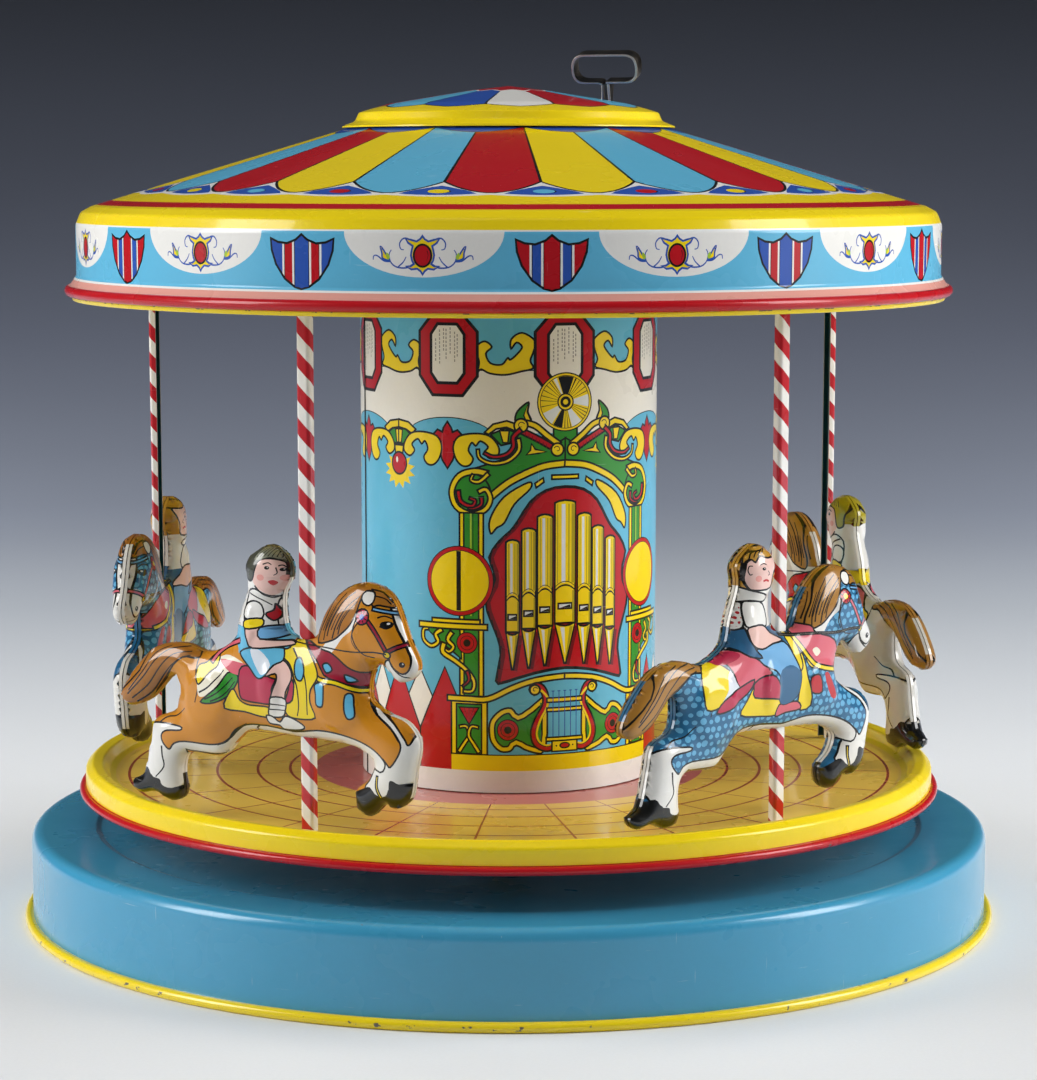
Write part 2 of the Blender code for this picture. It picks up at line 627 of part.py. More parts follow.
def place_on_deck(obj, index):
    """Local +X along the ride, local +Y towards the middle."""
    angle = pole_angle(index)
    obj.location = mm(POLE_PITCH_R * math.sin(angle), -POLE_PITCH_R * math.cos(angle), 0.0)
    obj.rotation_euler = (0.0, 0.0, angle)


def channel_outline(width, depth, sheet):
    """A round-cornered channel, open towards +Y."""
    bend = 1.2
    half_w, half_d = width / 2.0, depth / 2.0
    outer = []
    for start, cx in ((180.0, -half_w + bend), (270.0, half_w - bend)):
        for i in range(4):
            angle = math.radians(start + 30.0 * i)
            outer.append(polar(bend, angle, (cx, -half_d + bend)))
    outer = [(-half_w, half_d)] + outer + [(half_w, half_d)]
    inner = [(half_w - sheet, half_d), (half_w - sheet, -half_d + bend),
             (half_w - bend, -half_d + sheet), (-half_w + bend, -half_d + sheet),
             (-half_w + sheet, -half_d + bend), (-half_w + sheet, half_d)]
    return outer + inner


def make_poles():
    low = DECK_FLOOR_Z + TIN / 2.0 + GAP
    high = CEILING_Z - TIN / 2.0 - GAP
    outline = channel_outline(POLE_WIDTH, POLE_DEPTH, POLE_SHEET)
    for index in range(POLE_COUNT):
        pole = flat(f"pole_{index + 1}", [outline], 0.0, high - low, "pole_red")
        place_on_deck(pole, index)
        pole.location.z = mm((low + high) / 2.0)


def distance_to_outline(point, outline):
    nearest = math.inf
    for i, start in enumerate(outline):
        a, b = Vector(start), Vector(outline[(i + 1) % len(outline)])
        along = (b - a)
        share = max(0.0, min(1.0, (point - a).dot(along) / along.length_squared))
        nearest = min(nearest, (point - a - along * share).length)
    return nearest


def inside(point, outline):
    crossings = 0
    for i, (x0, y0) in enumerate(outline):
        x1, y1 = outline[(i + 1) % len(outline)]
        if (y0 > point.y) != (y1 > point.y):
            if point.x < x0 + (point.y - y0) * (x1 - x0) / (y1 - y0):
                crossings += 1
    return crossings % 2 == 1


def horse_half_mesh():
    """The stamped sheet of one half, swelling towards -Y from its edge."""
    outline = [Vector(point) for point in reversed(HORSE_OUTLINE)]
    ring_points = [tuple(point) for point in outline]
    inner = []
    row = 0
    height = 48.0
    while height < 124.0:
        x = -62.0 + (row % 2) * HORSE_GRID / 2.0
        while x < 37.0:
            point = Vector((x, height))
            clear = distance_to_outline(point, ring_points) > HORSE_MARGIN
            if clear and inside(point, ring_points):
                inner.append(point)
            x += HORSE_GRID
        height += HORSE_GRID * 0.8
        row += 1
    loop = list(range(len(outline)))
    flat_points, _, faces, *_ = delaunay_2d_cdt(outline + inner, [], [loop], 1, 0.0001)
    vertices = []
    for point in flat_points:
        rise = HORSE_SWELL * math.sqrt(max(distance_to_outline(point, ring_points), 0.0))
        vertices.append((point.x, -(HORSE_SEAM / 2.0 + HORSE_EDGE + rise), point.y))
    top_count = len(vertices)
    vertices += [(x, -HORSE_SEAM / 2.0, z) for x, z in ring_points]
    faces = [tuple(face) for face in faces]
    count = len(ring_points)
    for i in range(count):
        after = (i + 1) % count
        faces.append((i, after, top_count + after, top_count + i))
    mesh = mesh_from("horse_half", [mm(*v) for v in vertices], (), faces)
    work = bmesh.new()
    work.from_mesh(mesh)
    bmesh.ops.triangulate(work, faces=work.faces[:])
    bmesh.ops.recalc_face_normals(work, faces=work.faces[:])
    middle = max(work.faces, key=lambda face: -face.calc_center_median().y)
    if middle.normal.y > 0.0:
        bmesh.ops.reverse_faces(work, faces=work.faces[:])
    work.to_mesh(mesh)
    work.free()
    return mesh


def mirrored(mesh):
    """The other half: the same stamping struck the other way round."""
    other = mesh.copy()
    work = bmesh.new()
    work.from_mesh(other)
    for vertex in work.verts:
        vertex.co.y = -vertex.co.y
    bmesh.ops.reverse_faces(work, faces=work.faces[:])
    work.to_mesh(other)
    work.free()
    return other


def make_horses():
    outer_mesh = horse_half_mesh()
    inner_mesh = mirrored(outer_mesh)
    for index in range(POLE_COUNT):
        notch = add_object(f"horse_notch_{index + 1}", notch_mesh(), None)
        place_on_deck(notch, index)
        for side, mesh in (("outer", outer_mesh), ("inner", inner_mesh)):
            half = add_object(f"horse_{index + 1}_{side}", mesh.copy(), "horse_print")
            place_on_deck(half, index)
            add_solidify(half, HORSE_SHEET, -1.0)
            cut(half, notch)


def notch_mesh():
    """Room for the pole where it passes between the two halves."""
    mesh = bpy.data.meshes.new("horse_notch")
    work = bmesh.new()
    bmesh.ops.create_cube(work, size=1.0)
    wide = POLE_WIDTH + 2.0 * HORSE_NOTCH_CLEARANCE
    deep = POLE_DEPTH + 2.0 * HORSE_NOTCH_CLEARANCE
    bmesh.ops.scale(work, vec=mm(wide, deep, 60.0), verts=work.verts[:])
    bmesh.ops.translate(work, vec=mm(0.0, 0.0, 85.0), verts=work.verts[:])
    work.to_mesh(mesh)
    work.free()
    return mesh


clear_scene()
PARTS = make_collection(OBJECT_NAME)
CUTTERS = make_collection("cutters")
make_base()
make_spindle()
make_deck()
make_column()
make_poles()
make_horses()
make_ceiling()
make_motor_plates()
make_great_wheel()
make_click()
make_mainspring()
make_winding_arbor()
make_canopy()
make_cap()
make_key()
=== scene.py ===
"""Looks of the tinplate clockwork merry-go-round, built around its CAD frame."""

import json
import math

import bpy
import numpy as np
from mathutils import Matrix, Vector
from mathutils.geometry import delaunay_2d_cdt


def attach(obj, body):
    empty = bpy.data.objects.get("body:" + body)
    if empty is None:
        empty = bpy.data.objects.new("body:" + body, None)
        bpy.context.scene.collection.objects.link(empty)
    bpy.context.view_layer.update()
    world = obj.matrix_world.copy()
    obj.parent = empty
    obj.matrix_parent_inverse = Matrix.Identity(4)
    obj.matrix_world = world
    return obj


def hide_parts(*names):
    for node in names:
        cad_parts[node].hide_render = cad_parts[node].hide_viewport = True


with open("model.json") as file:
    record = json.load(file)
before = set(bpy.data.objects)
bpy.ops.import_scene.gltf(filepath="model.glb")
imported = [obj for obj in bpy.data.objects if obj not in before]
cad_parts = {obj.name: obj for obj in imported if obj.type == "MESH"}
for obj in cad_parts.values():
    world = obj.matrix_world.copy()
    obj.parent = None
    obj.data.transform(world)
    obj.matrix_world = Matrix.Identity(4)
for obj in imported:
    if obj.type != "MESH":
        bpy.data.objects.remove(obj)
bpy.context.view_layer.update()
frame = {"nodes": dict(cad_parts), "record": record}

# Lengths are in millimetres until a mesh is made; angles in degrees from the
# front, positive towards +X.
MM = 0.001
TIN = 0.6
COLUMN_R = 45.0
ORGAN_AT = 21.6              # the organ front on the drum faces this way
PRINT_AT = 5.0               # one seam of the roof's stripes faces this way
POLE_ANGLES = [-29.6 + 72.0 * i for i in range(5)]
POLE_R = 113.3
TABLE_Z = 44.0               # the drum and poles stand here
CEILING_Z = 190.0            # and end here
CONE_FOOT = (125.6, 216.2)   # radius and height where the roof's cone starts
CONE_RISE = 0.3              # rise of the cone for each millimetre inwards
KEY_LINE = 1.85              # every key line is this much wider than drawn

INKS = {
    "ink": "141412", "white": "e6e4de", "yellow": "ecd012", "red": "b5101a",
    "sky": "5fb2d4", "blue": "2b52a8", "green": "2f8a2a", "dark_red": "6a0d16",
    "olive": "a89a1c", "pale": "d9dfe6", "base": "3b93b8", "tan": "ecc654",
    "pink": "c8706c", "line": "a03a26", "tin": "8d8a84", "cream": "ece5cf",
    # lip_highlight is pink, a painted highlight along the roof's rolled bead.
    "lip_highlight": "dc9a8c", "grey": "8c8c8c", "leaf": "9fbf3a",
    "tan_coat": "ca8416", "tan_mane": "a66a1e", "blue_coat": "24648c", "dapple": "62a9cf",
    "white_coat": "cbc7be", "brown_mane": "a5742c", "skin": "e6bfb4", "blush": "e09a90",
    "hair": "45463a", "cap": "7f826e", "blond": "b98a32", "magenta": "b32646", "rose": "d4606e",
    "jeans": "6fa8d4", "skirt": "2b5f86", "teal": "173f49", "crimson": "94152c",
}


def linear(code):
    """Colour of an ink, from its six-figure code to linear light."""
    srgb = np.array([int(code[i:i + 2], 16) / 255.0 for i in (0, 2, 4)])
    return np.where(srgb <= 0.04045, srgb / 12.92, ((srgb + 0.055) / 1.055) ** 2.4)


INK_COLOUR = {name: linear(code) for name, code in INKS.items()}
INK_NUMBER = {name: number for number, name in enumerate(INKS)}


# ---- flat shapes: (outline, ink, clip) --------------------------------------
def spline(points, closed=True, per=4):
    """A smooth line through points."""
    p = np.array(points, float)
    n = len(p)
    out = []
    for i in range(n if closed else n - 1):
        if closed:
            a, b, c, d = (p[(i + k) % n] for k in (-1, 0, 1, 2))
        else:
            a, b, c, d = (p[min(max(i + k, 0), n - 1)] for k in (-1, 0, 1, 2))
        for k in range(per):
            t = k / per
            out.append(0.5 * (2 * b + (c - a) * t + (2 * a - 5 * b + 4 * c - d) * t * t
                              + (3 * b - a - 3 * c + d) * t ** 3))
    if not closed:
        out.append(p[-1])
    return np.array(out)


def area(p):
    q = np.roll(p, -1, 0)
    return 0.5 * float(np.sum(p[:, 0] * q[:, 1] - q[:, 0] * p[:, 1]))


def grown(points, by):
    """A closed outline moved outwards by a small distance."""
    p = np.array(points, float)
    if area(p) < 0.0:
        p = p[::-1]
    before, after = p - np.roll(p, 1, 0), np.roll(p, -1, 0) - p
    before /= np.linalg.norm(before, axis=1)[:, None] + 1e-9
    after /= np.linalg.norm(after, axis=1)[:, None] + 1e-9
    normal = np.stack([before[:, 1] + after[:, 1], -before[:, 0] - after[:, 0]], 1)
    length = np.linalg.norm(normal, axis=1)[:, None] + 1e-9
    normal = normal / length * np.minimum(2.0 / length, 1.6)
    return p + normal * by


def plain(points, ink, clip=None):
    return [(np.array(points, float), ink, clip)]


def inked(points, ink, line=0.32, edge="ink", clip=None):
    """A shape with a printed key line round it."""
    half = line * KEY_LINE / 2
    return [(grown(points, half), edge, clip), (grown(points, -half), ink, clip)]


def oval(x, y, rx, ry=None, n=28):
    a = np.arange(n) * 2 * math.pi / n
    return np.stack([x + rx * np.cos(a), y + (ry or rx) * np.sin(a)], 1)


def box(x0, y0, x1, y1):
    return np.array([(x0, y0), (x1, y0), (x1, y1), (x0, y1)], float)


def band(points, width, end=None, per=4):
    """The outline of a line of some width, which may taper to its end."""
    p = spline(points, False, per)
    along = np.gradient(p, axis=0)
    along /= np.linalg.norm(along, axis=1)[:, None] + 1e-9
    side = np.stack([-along[:, 1], along[:, 0]], 1)
    half = np.linspace(width, width if end is None else end, len(p))[:, None] / 2
    return np.concatenate([p + side * half, (p - side * half)[::-1]])


def scroll(points, ink, width, end=None, line=0.32, edge="ink"):
    return inked(band(points, width, end), ink, line, edge)


def mirrored(shapes, about=0.0):
    flip = lambda p: None if p is None else np.stack([2 * about - p[:, 0], p[:, 1]], 1)
    return [(flip(p), ink, flip(clip)) for p, ink, clip in shapes]


def moved(shapes, dx, dy=0.0):
    shift = lambda p: None if p is None else p + np.array([dx, dy])
    return [(shift(p), ink, shift(clip)) for p, ink, clip in shapes]


def both(shapes, about=0.0):
    return shapes + mirrored(shapes, about)


# ---- from flat print to triangles -------------------------------------------
def holds(outline, points):
    """Which points lie inside an outline."""
    inside = np.zeros(len(points), bool)
    low, high = outline.min(0), outline.max(0)
    near = np.nonzero(np.all((points >= low) & (points <= high), axis=1))[0]
    if not len(near):
        return inside
    x, y = points[near, 0], points[near, 1]
    odd = np.zeros(len(near), bool)
    for (x0, y0), (x1, y1) in zip(outline, np.roll(outline, -1, 0)):
        if y0 != y1:
            hit = (y0 > y) != (y1 > y)
            odd ^= hit & (x < x0 + (y - y0) * (x1 - x0) / (y1 - y0))
    inside[near] = odd
    return inside


def compacted(flat, faces):
    """Drops the points that no face uses."""
    used = np.unique(faces)
    place_of = np.zeros(len(flat), int)
    place_of[used] = np.arange(len(used))
    return flat[used], place_of[faces]


def triangulate(shapes, frame_box, columns, rows, extra=()):
    """Triangles whose edges follow every outline, and the ink of each one."""
    x0, y0, x1, y1 = frame_box
    points, edges = [], []

    def add(outline, closed):
        start = len(points)
        points.extend(Vector((float(x), float(y))) for x, y in outline)
        edges.extend((start + i, start + i + 1) for i in range(len(outline) - 1))
        if closed:
            edges.append((start + len(outline) - 1, start))

    add(box(x0, y0, x1, y1), True)
    for x in columns:
        add([(x, y0), (x, y1)], False)
    for y in rows:
        add([(x0, y), (x1, y)], False)
    for outline, _, _ in shapes:
        add(outline, True)
    points.extend(Vector(p) for p in extra)
    flat, _, faces, *_ = delaunay_2d_cdt(points, edges, [], 0, 0.0005)
    flat = np.array([tuple(p) for p in flat])
    faces = np.array([tuple(f) for f in faces])
    middle = flat[faces].mean(1)
    keep = (middle[:, 0] > x0) & (middle[:, 0] < x1) & (middle[:, 1] > y0) & (middle[:, 1] < y1)
    faces, middle = faces[keep], middle[keep]
    a, b, c = (flat[faces[:, k]] for k in range(3))
    turn = (b - a)[:, 0] * (c - a)[:, 1] - (b - a)[:, 1] * (c - a)[:, 0]
    faces[turn < 0] = faces[turn < 0][:, ::-1]
    inks = np.zeros(len(faces), int)
    for outline, ink, clip in shapes:
        hit = holds(outline, middle)
        if clip is not None:
            hit &= holds(clip, middle)
        inks[hit] = INK_NUMBER[ink]
    return (*compacted(flat, faces), inks)


class Sheet:
    """Gathers vertices, normals, faces, inks, wear and painted shade, and becomes one object."""

    def __init__(self):
        self.points, self.normals, self.faces, self.inks, self.wear = [], [], [], [], []
        self.shade = []
        self.count = 0

    def add(self, points, normals, faces, inks, wear=0.0, shade=None):
        self.points.append(points)
        self.normals.append(normals)
        self.faces.append(faces + self.count)
        if isinstance(inks, str):
            inks = np.full(len(faces), INK_NUMBER[inks])
        self.inks.append(inks)
        self.wear.append(np.full(len(faces), wear) if np.isscalar(wear) else wear)
        self.shade.append(np.ones(len(points)) if shade is None else shade)
        self.count += len(points)

    def build(self, name, material):
        points = np.concatenate(self.points) * MM
        normals = np.concatenate(self.normals)
        faces = np.concatenate(self.faces)
        inks, wear = np.concatenate(self.inks), np.concatenate(self.wear)
        mesh = bpy.data.meshes.new(name)
        mesh.from_pydata(points.tolist(), [], faces.tolist())
        colours = np.array([list(INK_COLOUR[key]) + [1.0] for key in INKS])[inks]
        colours[:, 3] = 1.0 - wear
        colours = np.repeat(colours, 3, axis=0)
        # Painted shade: each point's shade darkens the inks of the faces round it.
        colours[:, :3] *= np.concatenate(self.shade)[faces.ravel()][:, None]
        layer = mesh.color_attributes.new("print", "FLOAT_COLOR", "CORNER")
        layer.data.foreach_set("color", colours.astype(np.float32).ravel())
        mesh.shade_smooth()
        mesh.update()
        mesh.normals_split_custom_set_from_vertices(normals.tolist())
        mesh.materials.append(material)
        obj = bpy.data.objects.new(name, mesh)
        bpy.context.scene.collection.objects.link(obj)
        return obj


def profile_normals(profile):
    along = np.gradient(profile, axis=0)
    along /= np.linalg.norm(along, axis=1)[:, None] + 1e-9
    return np.stack([along[:, 1], -along[:, 0]], 1)


def arc_lengths(profile):
    return np.concatenate([[0.0], np.cumsum(np.linalg.norm(np.diff(profile, axis=0), axis=1))])


def turned_points(profile, lengths, angle, along, normals=None):
    """Points and normals of a turned surface at given angles and lengths along it."""
    r = np.interp(along, lengths, profile[:, 0])
    z = np.interp(along, lengths, profile[:, 1])
    slopes = profile_normals(profile) if normals is None else normals
    nr, nz = (np.interp(along, lengths, slopes[:, k]) for k in (0, 1))
    size = np.sqrt(nr ** 2 + nz ** 2) + 1e-9
    nr, nz = nr / size, nz / size
    s, c = np.sin(angle), -np.cos(angle)
    return np.stack([r * s, r * c, z], 1), np.stack([nr * s, nr * c, nz], 1)


def bent(corners, bends, per=5):
    """A profile with rounded corners: bends holds a radius for each corner."""
    p = np.array(corners, float)
    out = [p[0]]
    for i in range(1, len(p) - 1):
        radius = bends[i - 1]
        if radius <= 0.0:
            out.append(p[i])
            continue
        a, b = p[i - 1] - p[i], p[i + 1] - p[i]
        a, b = a / np.linalg.norm(a), b / np.linalg.norm(b)
        half = math.acos(max(-1.0, min(1.0, float(a @ b)))) / 2
        back = radius / math.tan(half)
        start, end = p[i] + a * back, p[i] + b * back
        for k in range(per + 1):
            t = k / per
            out.append((1 - t) ** 2 * start + 2 * t * (1 - t) * p[i] + t * t * end)
    out.append(p[-1])
    return np.array(out)


def lengthened(profile, step=6.0):
    """The profile with further points, so that no straight run is long."""
    out = [profile[0]]
    for a, b in zip(profile[:-1], profile[1:]):
        n = max(1, int(np.linalg.norm(b - a) / step))
        out += [a + (b - a) * (k + 1) / n for k in range(n)]
    return np.array(out)


def rolled(centre, radius, start, end, n=12):
    a = np.radians(np.linspace(start, end, n))
    return np.stack([centre[0] + radius * np.cos(a), centre[1] + radius * np.sin(a)], 1)


def pushed(profile, by):
    """An open profile moved sideways, towards its normals."""
    return profile + profile_normals(profile) * by


def turned_sheet(sheet, profile, ink, sides=180, wear=0.0, inward=False):
    """A plain turned surface."""
    lengths = arc_lengths(profile)
    angle = np.arange(sides) * 2 * math.pi / sides
    n = len(profile)
    a, t = np.repeat(angle, n), np.tile(lengths, sides)
    points, normals = turned_points(profile, lengths, a, t)
    i, j = np.meshgrid(np.arange(sides), np.arange(n - 1), indexing="ij")
    p, q = (i * n + j).ravel(), (((i + 1) % sides) * n + j).ravel()
    faces = np.concatenate([np.stack([p, q, q + 1], 1), np.stack([p, q + 1, p + 1], 1)])
    if inward:
        faces, normals = faces[:, ::-1], -normals
    sheet.add(points, normals, faces, ink, wear)


def printed_sheet(sheet, profile, shapes, period, scale, start, wear_at=(), step=3.0, rows=True):
    """A turned surface that carries a print which repeats every period degrees.

    The print's x is length round the surface at radius scale, its y is length
    along the profile; wear_at lists (low, high, amount) bands of that length.
    """
    lengths = arc_lengths(profile)
    width = math.radians(period) * scale
    columns = np.linspace(0, width, max(2, round(period / step)) + 1)[1:-1]
    breaks = lengths[1:-1] if rows else ()
    flat, faces, inks = triangulate(shapes, (0.0, 0.0, width, lengths[-1]), columns, breaks)
    middle = flat[faces].mean(1)[:, 1]
    wear = np.zeros(len(faces))
    for low, high, amount in wear_at:
        wear[(middle >= low) & (middle <= high)] = amount
    for copy in range(round(360.0 / period)):
        angle = flat[:, 0] / scale + math.radians(start + copy * period)
        points, normals = turned_points(profile, lengths, angle, flat[:, 1])
        sheet.add(points, normals, faces, inks, wear)


def rings(profile, marks, width):
    """Plain bands of ink: marks lists (length along the profile, ink above it)."""
    ends = [mark[0] for mark in marks[1:]] + [arc_lengths(profile)[-1] + 1.0]
    shapes = []
    for (low, ink), high in zip(marks, ends):
        shapes += plain(box(-1.0, low, width + 1.0, high), ink)
    return shapes


def place(obj, body, nodes):
    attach(obj, body)
    if nodes:
        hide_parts(*nodes)


# ---- materials --------------------------------------------------------------
def nodes_of(name):
    material = bpy.data.materials.new(name)
    material.use_nodes = True
    tree = material.node_tree
    shader = tree.nodes["Principled BSDF"]
    return material, tree, shader


def add_node(tree, kind, settings=(), **inputs):
    node = tree.nodes.new(kind)
    for key, value in dict(settings).items():
        setattr(node, key, value)
    for key, value in inputs.items():
        node.inputs[key.replace("_", " ")].default_value = value
    return node


def noise(tree, scale, detail=3.0, stretch=None):
    """Noise in object space; scale is in 1/m."""
    node = add_node(tree, "ShaderNodeTexNoise", Scale=scale, Detail=detail, Roughness=0.6)
    coordinate = add_node(tree, "ShaderNodeTexCoord")
    source = coordinate.outputs["Object"]
    if stretch:
        mapping = add_node(tree, "ShaderNodeMapping", Scale=stretch)
        tree.links.new(source, mapping.inputs["Vector"])
        source = mapping.outputs["Vector"]
    tree.links.new(source, node.inputs["Vector"])
    return node.outputs["Fac"]


def ramp(tree, value, low, high, low_out=0.0, high_out=1.0):
    node = add_node(tree, "ShaderNodeMapRange", {"interpolation_type": "SMOOTHSTEP"})
    node.inputs["From Min"].default_value = low
    node.inputs["From Max"].default_value = high
    node.inputs["To Min"].default_value = low_out
    node.inputs["To Max"].default_value = high_out
    tree.links.new(value, node.inputs["Value"])
    return node.outputs["Result"]


def feed(tree, socket, value):
    """Sets a socket to a constant, or links it to another node's output."""
    if isinstance(value, (int, float, tuple)):
        socket.default_value = value
    else:
        tree.links.new(value, socket)


def maths(tree, operation, a, b):
    node = add_node(tree, "ShaderNodeMath", {"operation": operation})
    feed(tree, node.inputs[0], a)
    feed(tree, node.inputs[1], b)
    return node.outputs["Value"]


def mix(tree, share, a, b, blend="MIX"):
    """Mixes two colours; the node's colour mode uses its sockets 0, 6, 7 and output 2."""
    node = add_node(tree, "ShaderNodeMix", {"data_type": "RGBA", "blend_type": blend})
    for k, value in ((0, share), (6, a), (7, b)):
        feed(tree, node.inputs[k], value)
    return node.outputs[2]


def bumped(tree, shader, height, strength, distance):
    """Bump from a height; distance is in metres."""
    bump = add_node(tree, "ShaderNodeBump", Strength=strength, Distance=distance)
    tree.links.new(height, bump.inputs["Height"])
    tree.links.new(bump.outputs["Normal"], shader.inputs["Normal"])


def litho(name, grime=0.25, scratches=0.5, dents=0.1, coat=0.4, gloss=0.07):
    """Printed and varnished tinplate: inks, fine scratches, rubbed edges, small chips."""
    material, tree, shader = nodes_of(name)
    print_node = add_node(tree, "ShaderNodeAttribute", {"attribute_name": "print"})
    cloud = noise(tree, 22.0, 4.0)
    fine = noise(tree, 900.0, 3.0)
    specks = noise(tree, 420.0, 6.0)
    lines = noise(tree, 60.0, 5.0, (1.0, 1.0, 26.0))
    hairs = noise(tree, 75.0, 4.0, (16.0, 14.0, 0.7))
    colour = mix(tree, ramp(tree, cloud, 0.35, 0.75, 0.0, grime), print_node.outputs["Color"],
                 (0.93, 0.90, 0.83, 1.0), "MULTIPLY")
    colour = mix(tree, ramp(tree, fine, 0.2, 0.8, 0.0, 0.10), colour, (0.75, 0.75, 0.75, 1.0),
                 "MULTIPLY")
    marks = maths(tree, "MAXIMUM", ramp(tree, lines, 0.69, 0.74), ramp(tree, hairs, 0.70, 0.75))
    marks = maths(tree, "MULTIPLY", marks, scratches)
    colour = mix(tree, maths(tree, "MULTIPLY", marks, 0.30), colour, (0.86, 0.86, 0.84, 1.0))
    chip = maths(tree, "MULTIPLY", ramp(tree, specks, 0.745, 0.76), 0.2)
    rub = maths(tree, "SUBTRACT", noise(tree, 260.0, 5.0), print_node.outputs["Alpha"])
    bare = maths(tree, "MAXIMUM", chip, ramp(tree, rub, -0.22, -0.18))
    colour = mix(tree, bare, colour, (0.10, 0.085, 0.07, 1.0))
    tree.links.new(colour, shader.inputs["Base Color"])
    rough = ramp(tree, cloud, 0.3, 0.8, 0.24, 0.36)
    rough = maths(tree, "ADD", rough, maths(tree, "MULTIPLY", marks, 0.25))
    rough = maths(tree, "ADD", rough, maths(tree, "MULTIPLY", bare, 0.25))
    tree.links.new(rough, shader.inputs["Roughness"])
    height = maths(tree, "ADD", noise(tree, 45.0, 2.0), maths(tree, "MULTIPLY", fine, 0.04))
    height = maths(tree, "SUBTRACT", height, maths(tree, "MULTIPLY", bare, 0.10))
    bumped(tree, shader, height, dents, 0.0006)
    shader.inputs["Coat Weight"].default_value = coat
    shader.inputs["Coat Roughness"].default_value = gloss
    shader.inputs["IOR"].default_value = 1.5
    shader.inputs["Specular IOR Level"].default_value = 0.25
    return material


def metal(name, colour, dark, roughness, grain=(1.0, 1.0, 1.0), tarnish=0.5):
    """Bare metal with a grain, tarnish and uneven polish."""
    material, tree, shader = nodes_of(name)
    stain = noise(tree, 180.0, 5.0)
    streak = noise(tree, 700.0, 3.0, grain)
    tone = mix(tree, ramp(tree, stain, 0.35, 0.7, 0.0, tarnish), colour, dark)
    tone = mix(tree, ramp(tree, streak, 0.3, 0.7, 0.0, 0.25), tone, (0.6, 0.6, 0.6, 1.0),
               "MULTIPLY")
    tree.links.new(tone, shader.inputs["Base Color"])
    uneven = ramp(tree, stain, 0.3, 0.75, roughness, roughness + 0.25)
    tree.links.new(uneven, shader.inputs["Roughness"])
    bumped(tree, shader, streak, 0.25, 0.0002)
    shader.inputs["Metallic"].default_value = 1.0
    return material


def worn_nickel_edge_highlight(name):
    """Nickel strip, tarnished on its flat sides; its edges are lighter, partly as rubbed metal and
    partly as a painted highlight.
    """
    material, tree, shader = nodes_of(name)
    tint = add_node(tree, "ShaderNodeAttribute", {"attribute_name": "print"}).outputs["Color"]
    edge = add_node(tree, "ShaderNodeSeparateColor")
    tree.links.new(tint, edge.inputs["Color"])
    edge_wear_and_highlight = ramp(tree, edge.outputs["Red"], 0.45, 0.6)
    stain = noise(tree, 260.0, 5.0)
    streak = noise(tree, 1500.0, 3.0, (1.0, 0.25, 1.0))
    flat = mix(tree, ramp(tree, stain, 0.35, 0.65), (0.12, 0.10, 0.075, 1.0),
               (0.22, 0.19, 0.155, 1.0))
    tone = mix(tree, edge_wear_and_highlight, flat, (0.60, 0.57, 0.52, 1.0))
    tone = mix(tree, ramp(tree, streak, 0.3, 0.7, 0.0, 0.3), tone, (0.6, 0.58, 0.55, 1.0),
               "MULTIPLY")
    tree.links.new(tone, shader.inputs["Base Color"])
    tree.links.new(ramp(tree, stain, 0.3, 0.7, 0.34, 0.55), shader.inputs["Roughness"])
    bumped(tree, shader, maths(tree, "ADD", streak, maths(tree, "MULTIPLY", stain, 2.0)), 0.3,
           0.0002)
    shader.inputs["Metallic"].default_value = 1.0
    return material


# ---- base pan ---------------------------------------------------------------
def make_base(material):
    bead = rolled((148.45, 1.3825), 1.25 + TIN / 2, 180.0, 480.0, 24)
    wall = bent([(147.5, 2.9), (147.5, 28.0), (127.9, 28.0), (126.4, 27.25), (3.6, 27.2)],
                [3.9, 2.0, 1.6], 6)
    profile = lengthened(np.concatenate([bead, wall]), 8.0)
    bead_end = arc_lengths(bead)[-1]
    period, scale = 30.0, 147.0
    shapes = rings(profile, [(0.0, "yellow"), (bead_end + 0.1, "base")],
                   math.radians(period) * scale)
    wear = [(0.0, 2.9, 0.18), (2.9, 4.3, 0.06), (4.3, 5.4, 0.19), (5.4, 7.0, 0.06),
            (7.0, bead_end + 0.2, 0.15), (bead_end + 20.0, bead_end + 26.0, 0.05)]
    sheet = Sheet()
    printed_sheet(sheet, profile, shapes, period, scale, 0.0, wear)
    inner = np.array([(146.9, 1.38), (146.9, 24.0), (146.0, 26.4), (143.8, 27.4),
                      (127.8, 27.4), (126.4, 26.6), (3.6, 26.6)])
    turned_sheet(sheet, lengthened(inner, 8.0), "tin", 120, 0.2, inward=True)
    hole = np.array([(3.6, 26.6), (3.6, 27.2)])
    turned_sheet(sheet, hole, "tin", 120, inward=True)
    place(sheet.build("base_pan_print", material), "base", ["base_pan"])


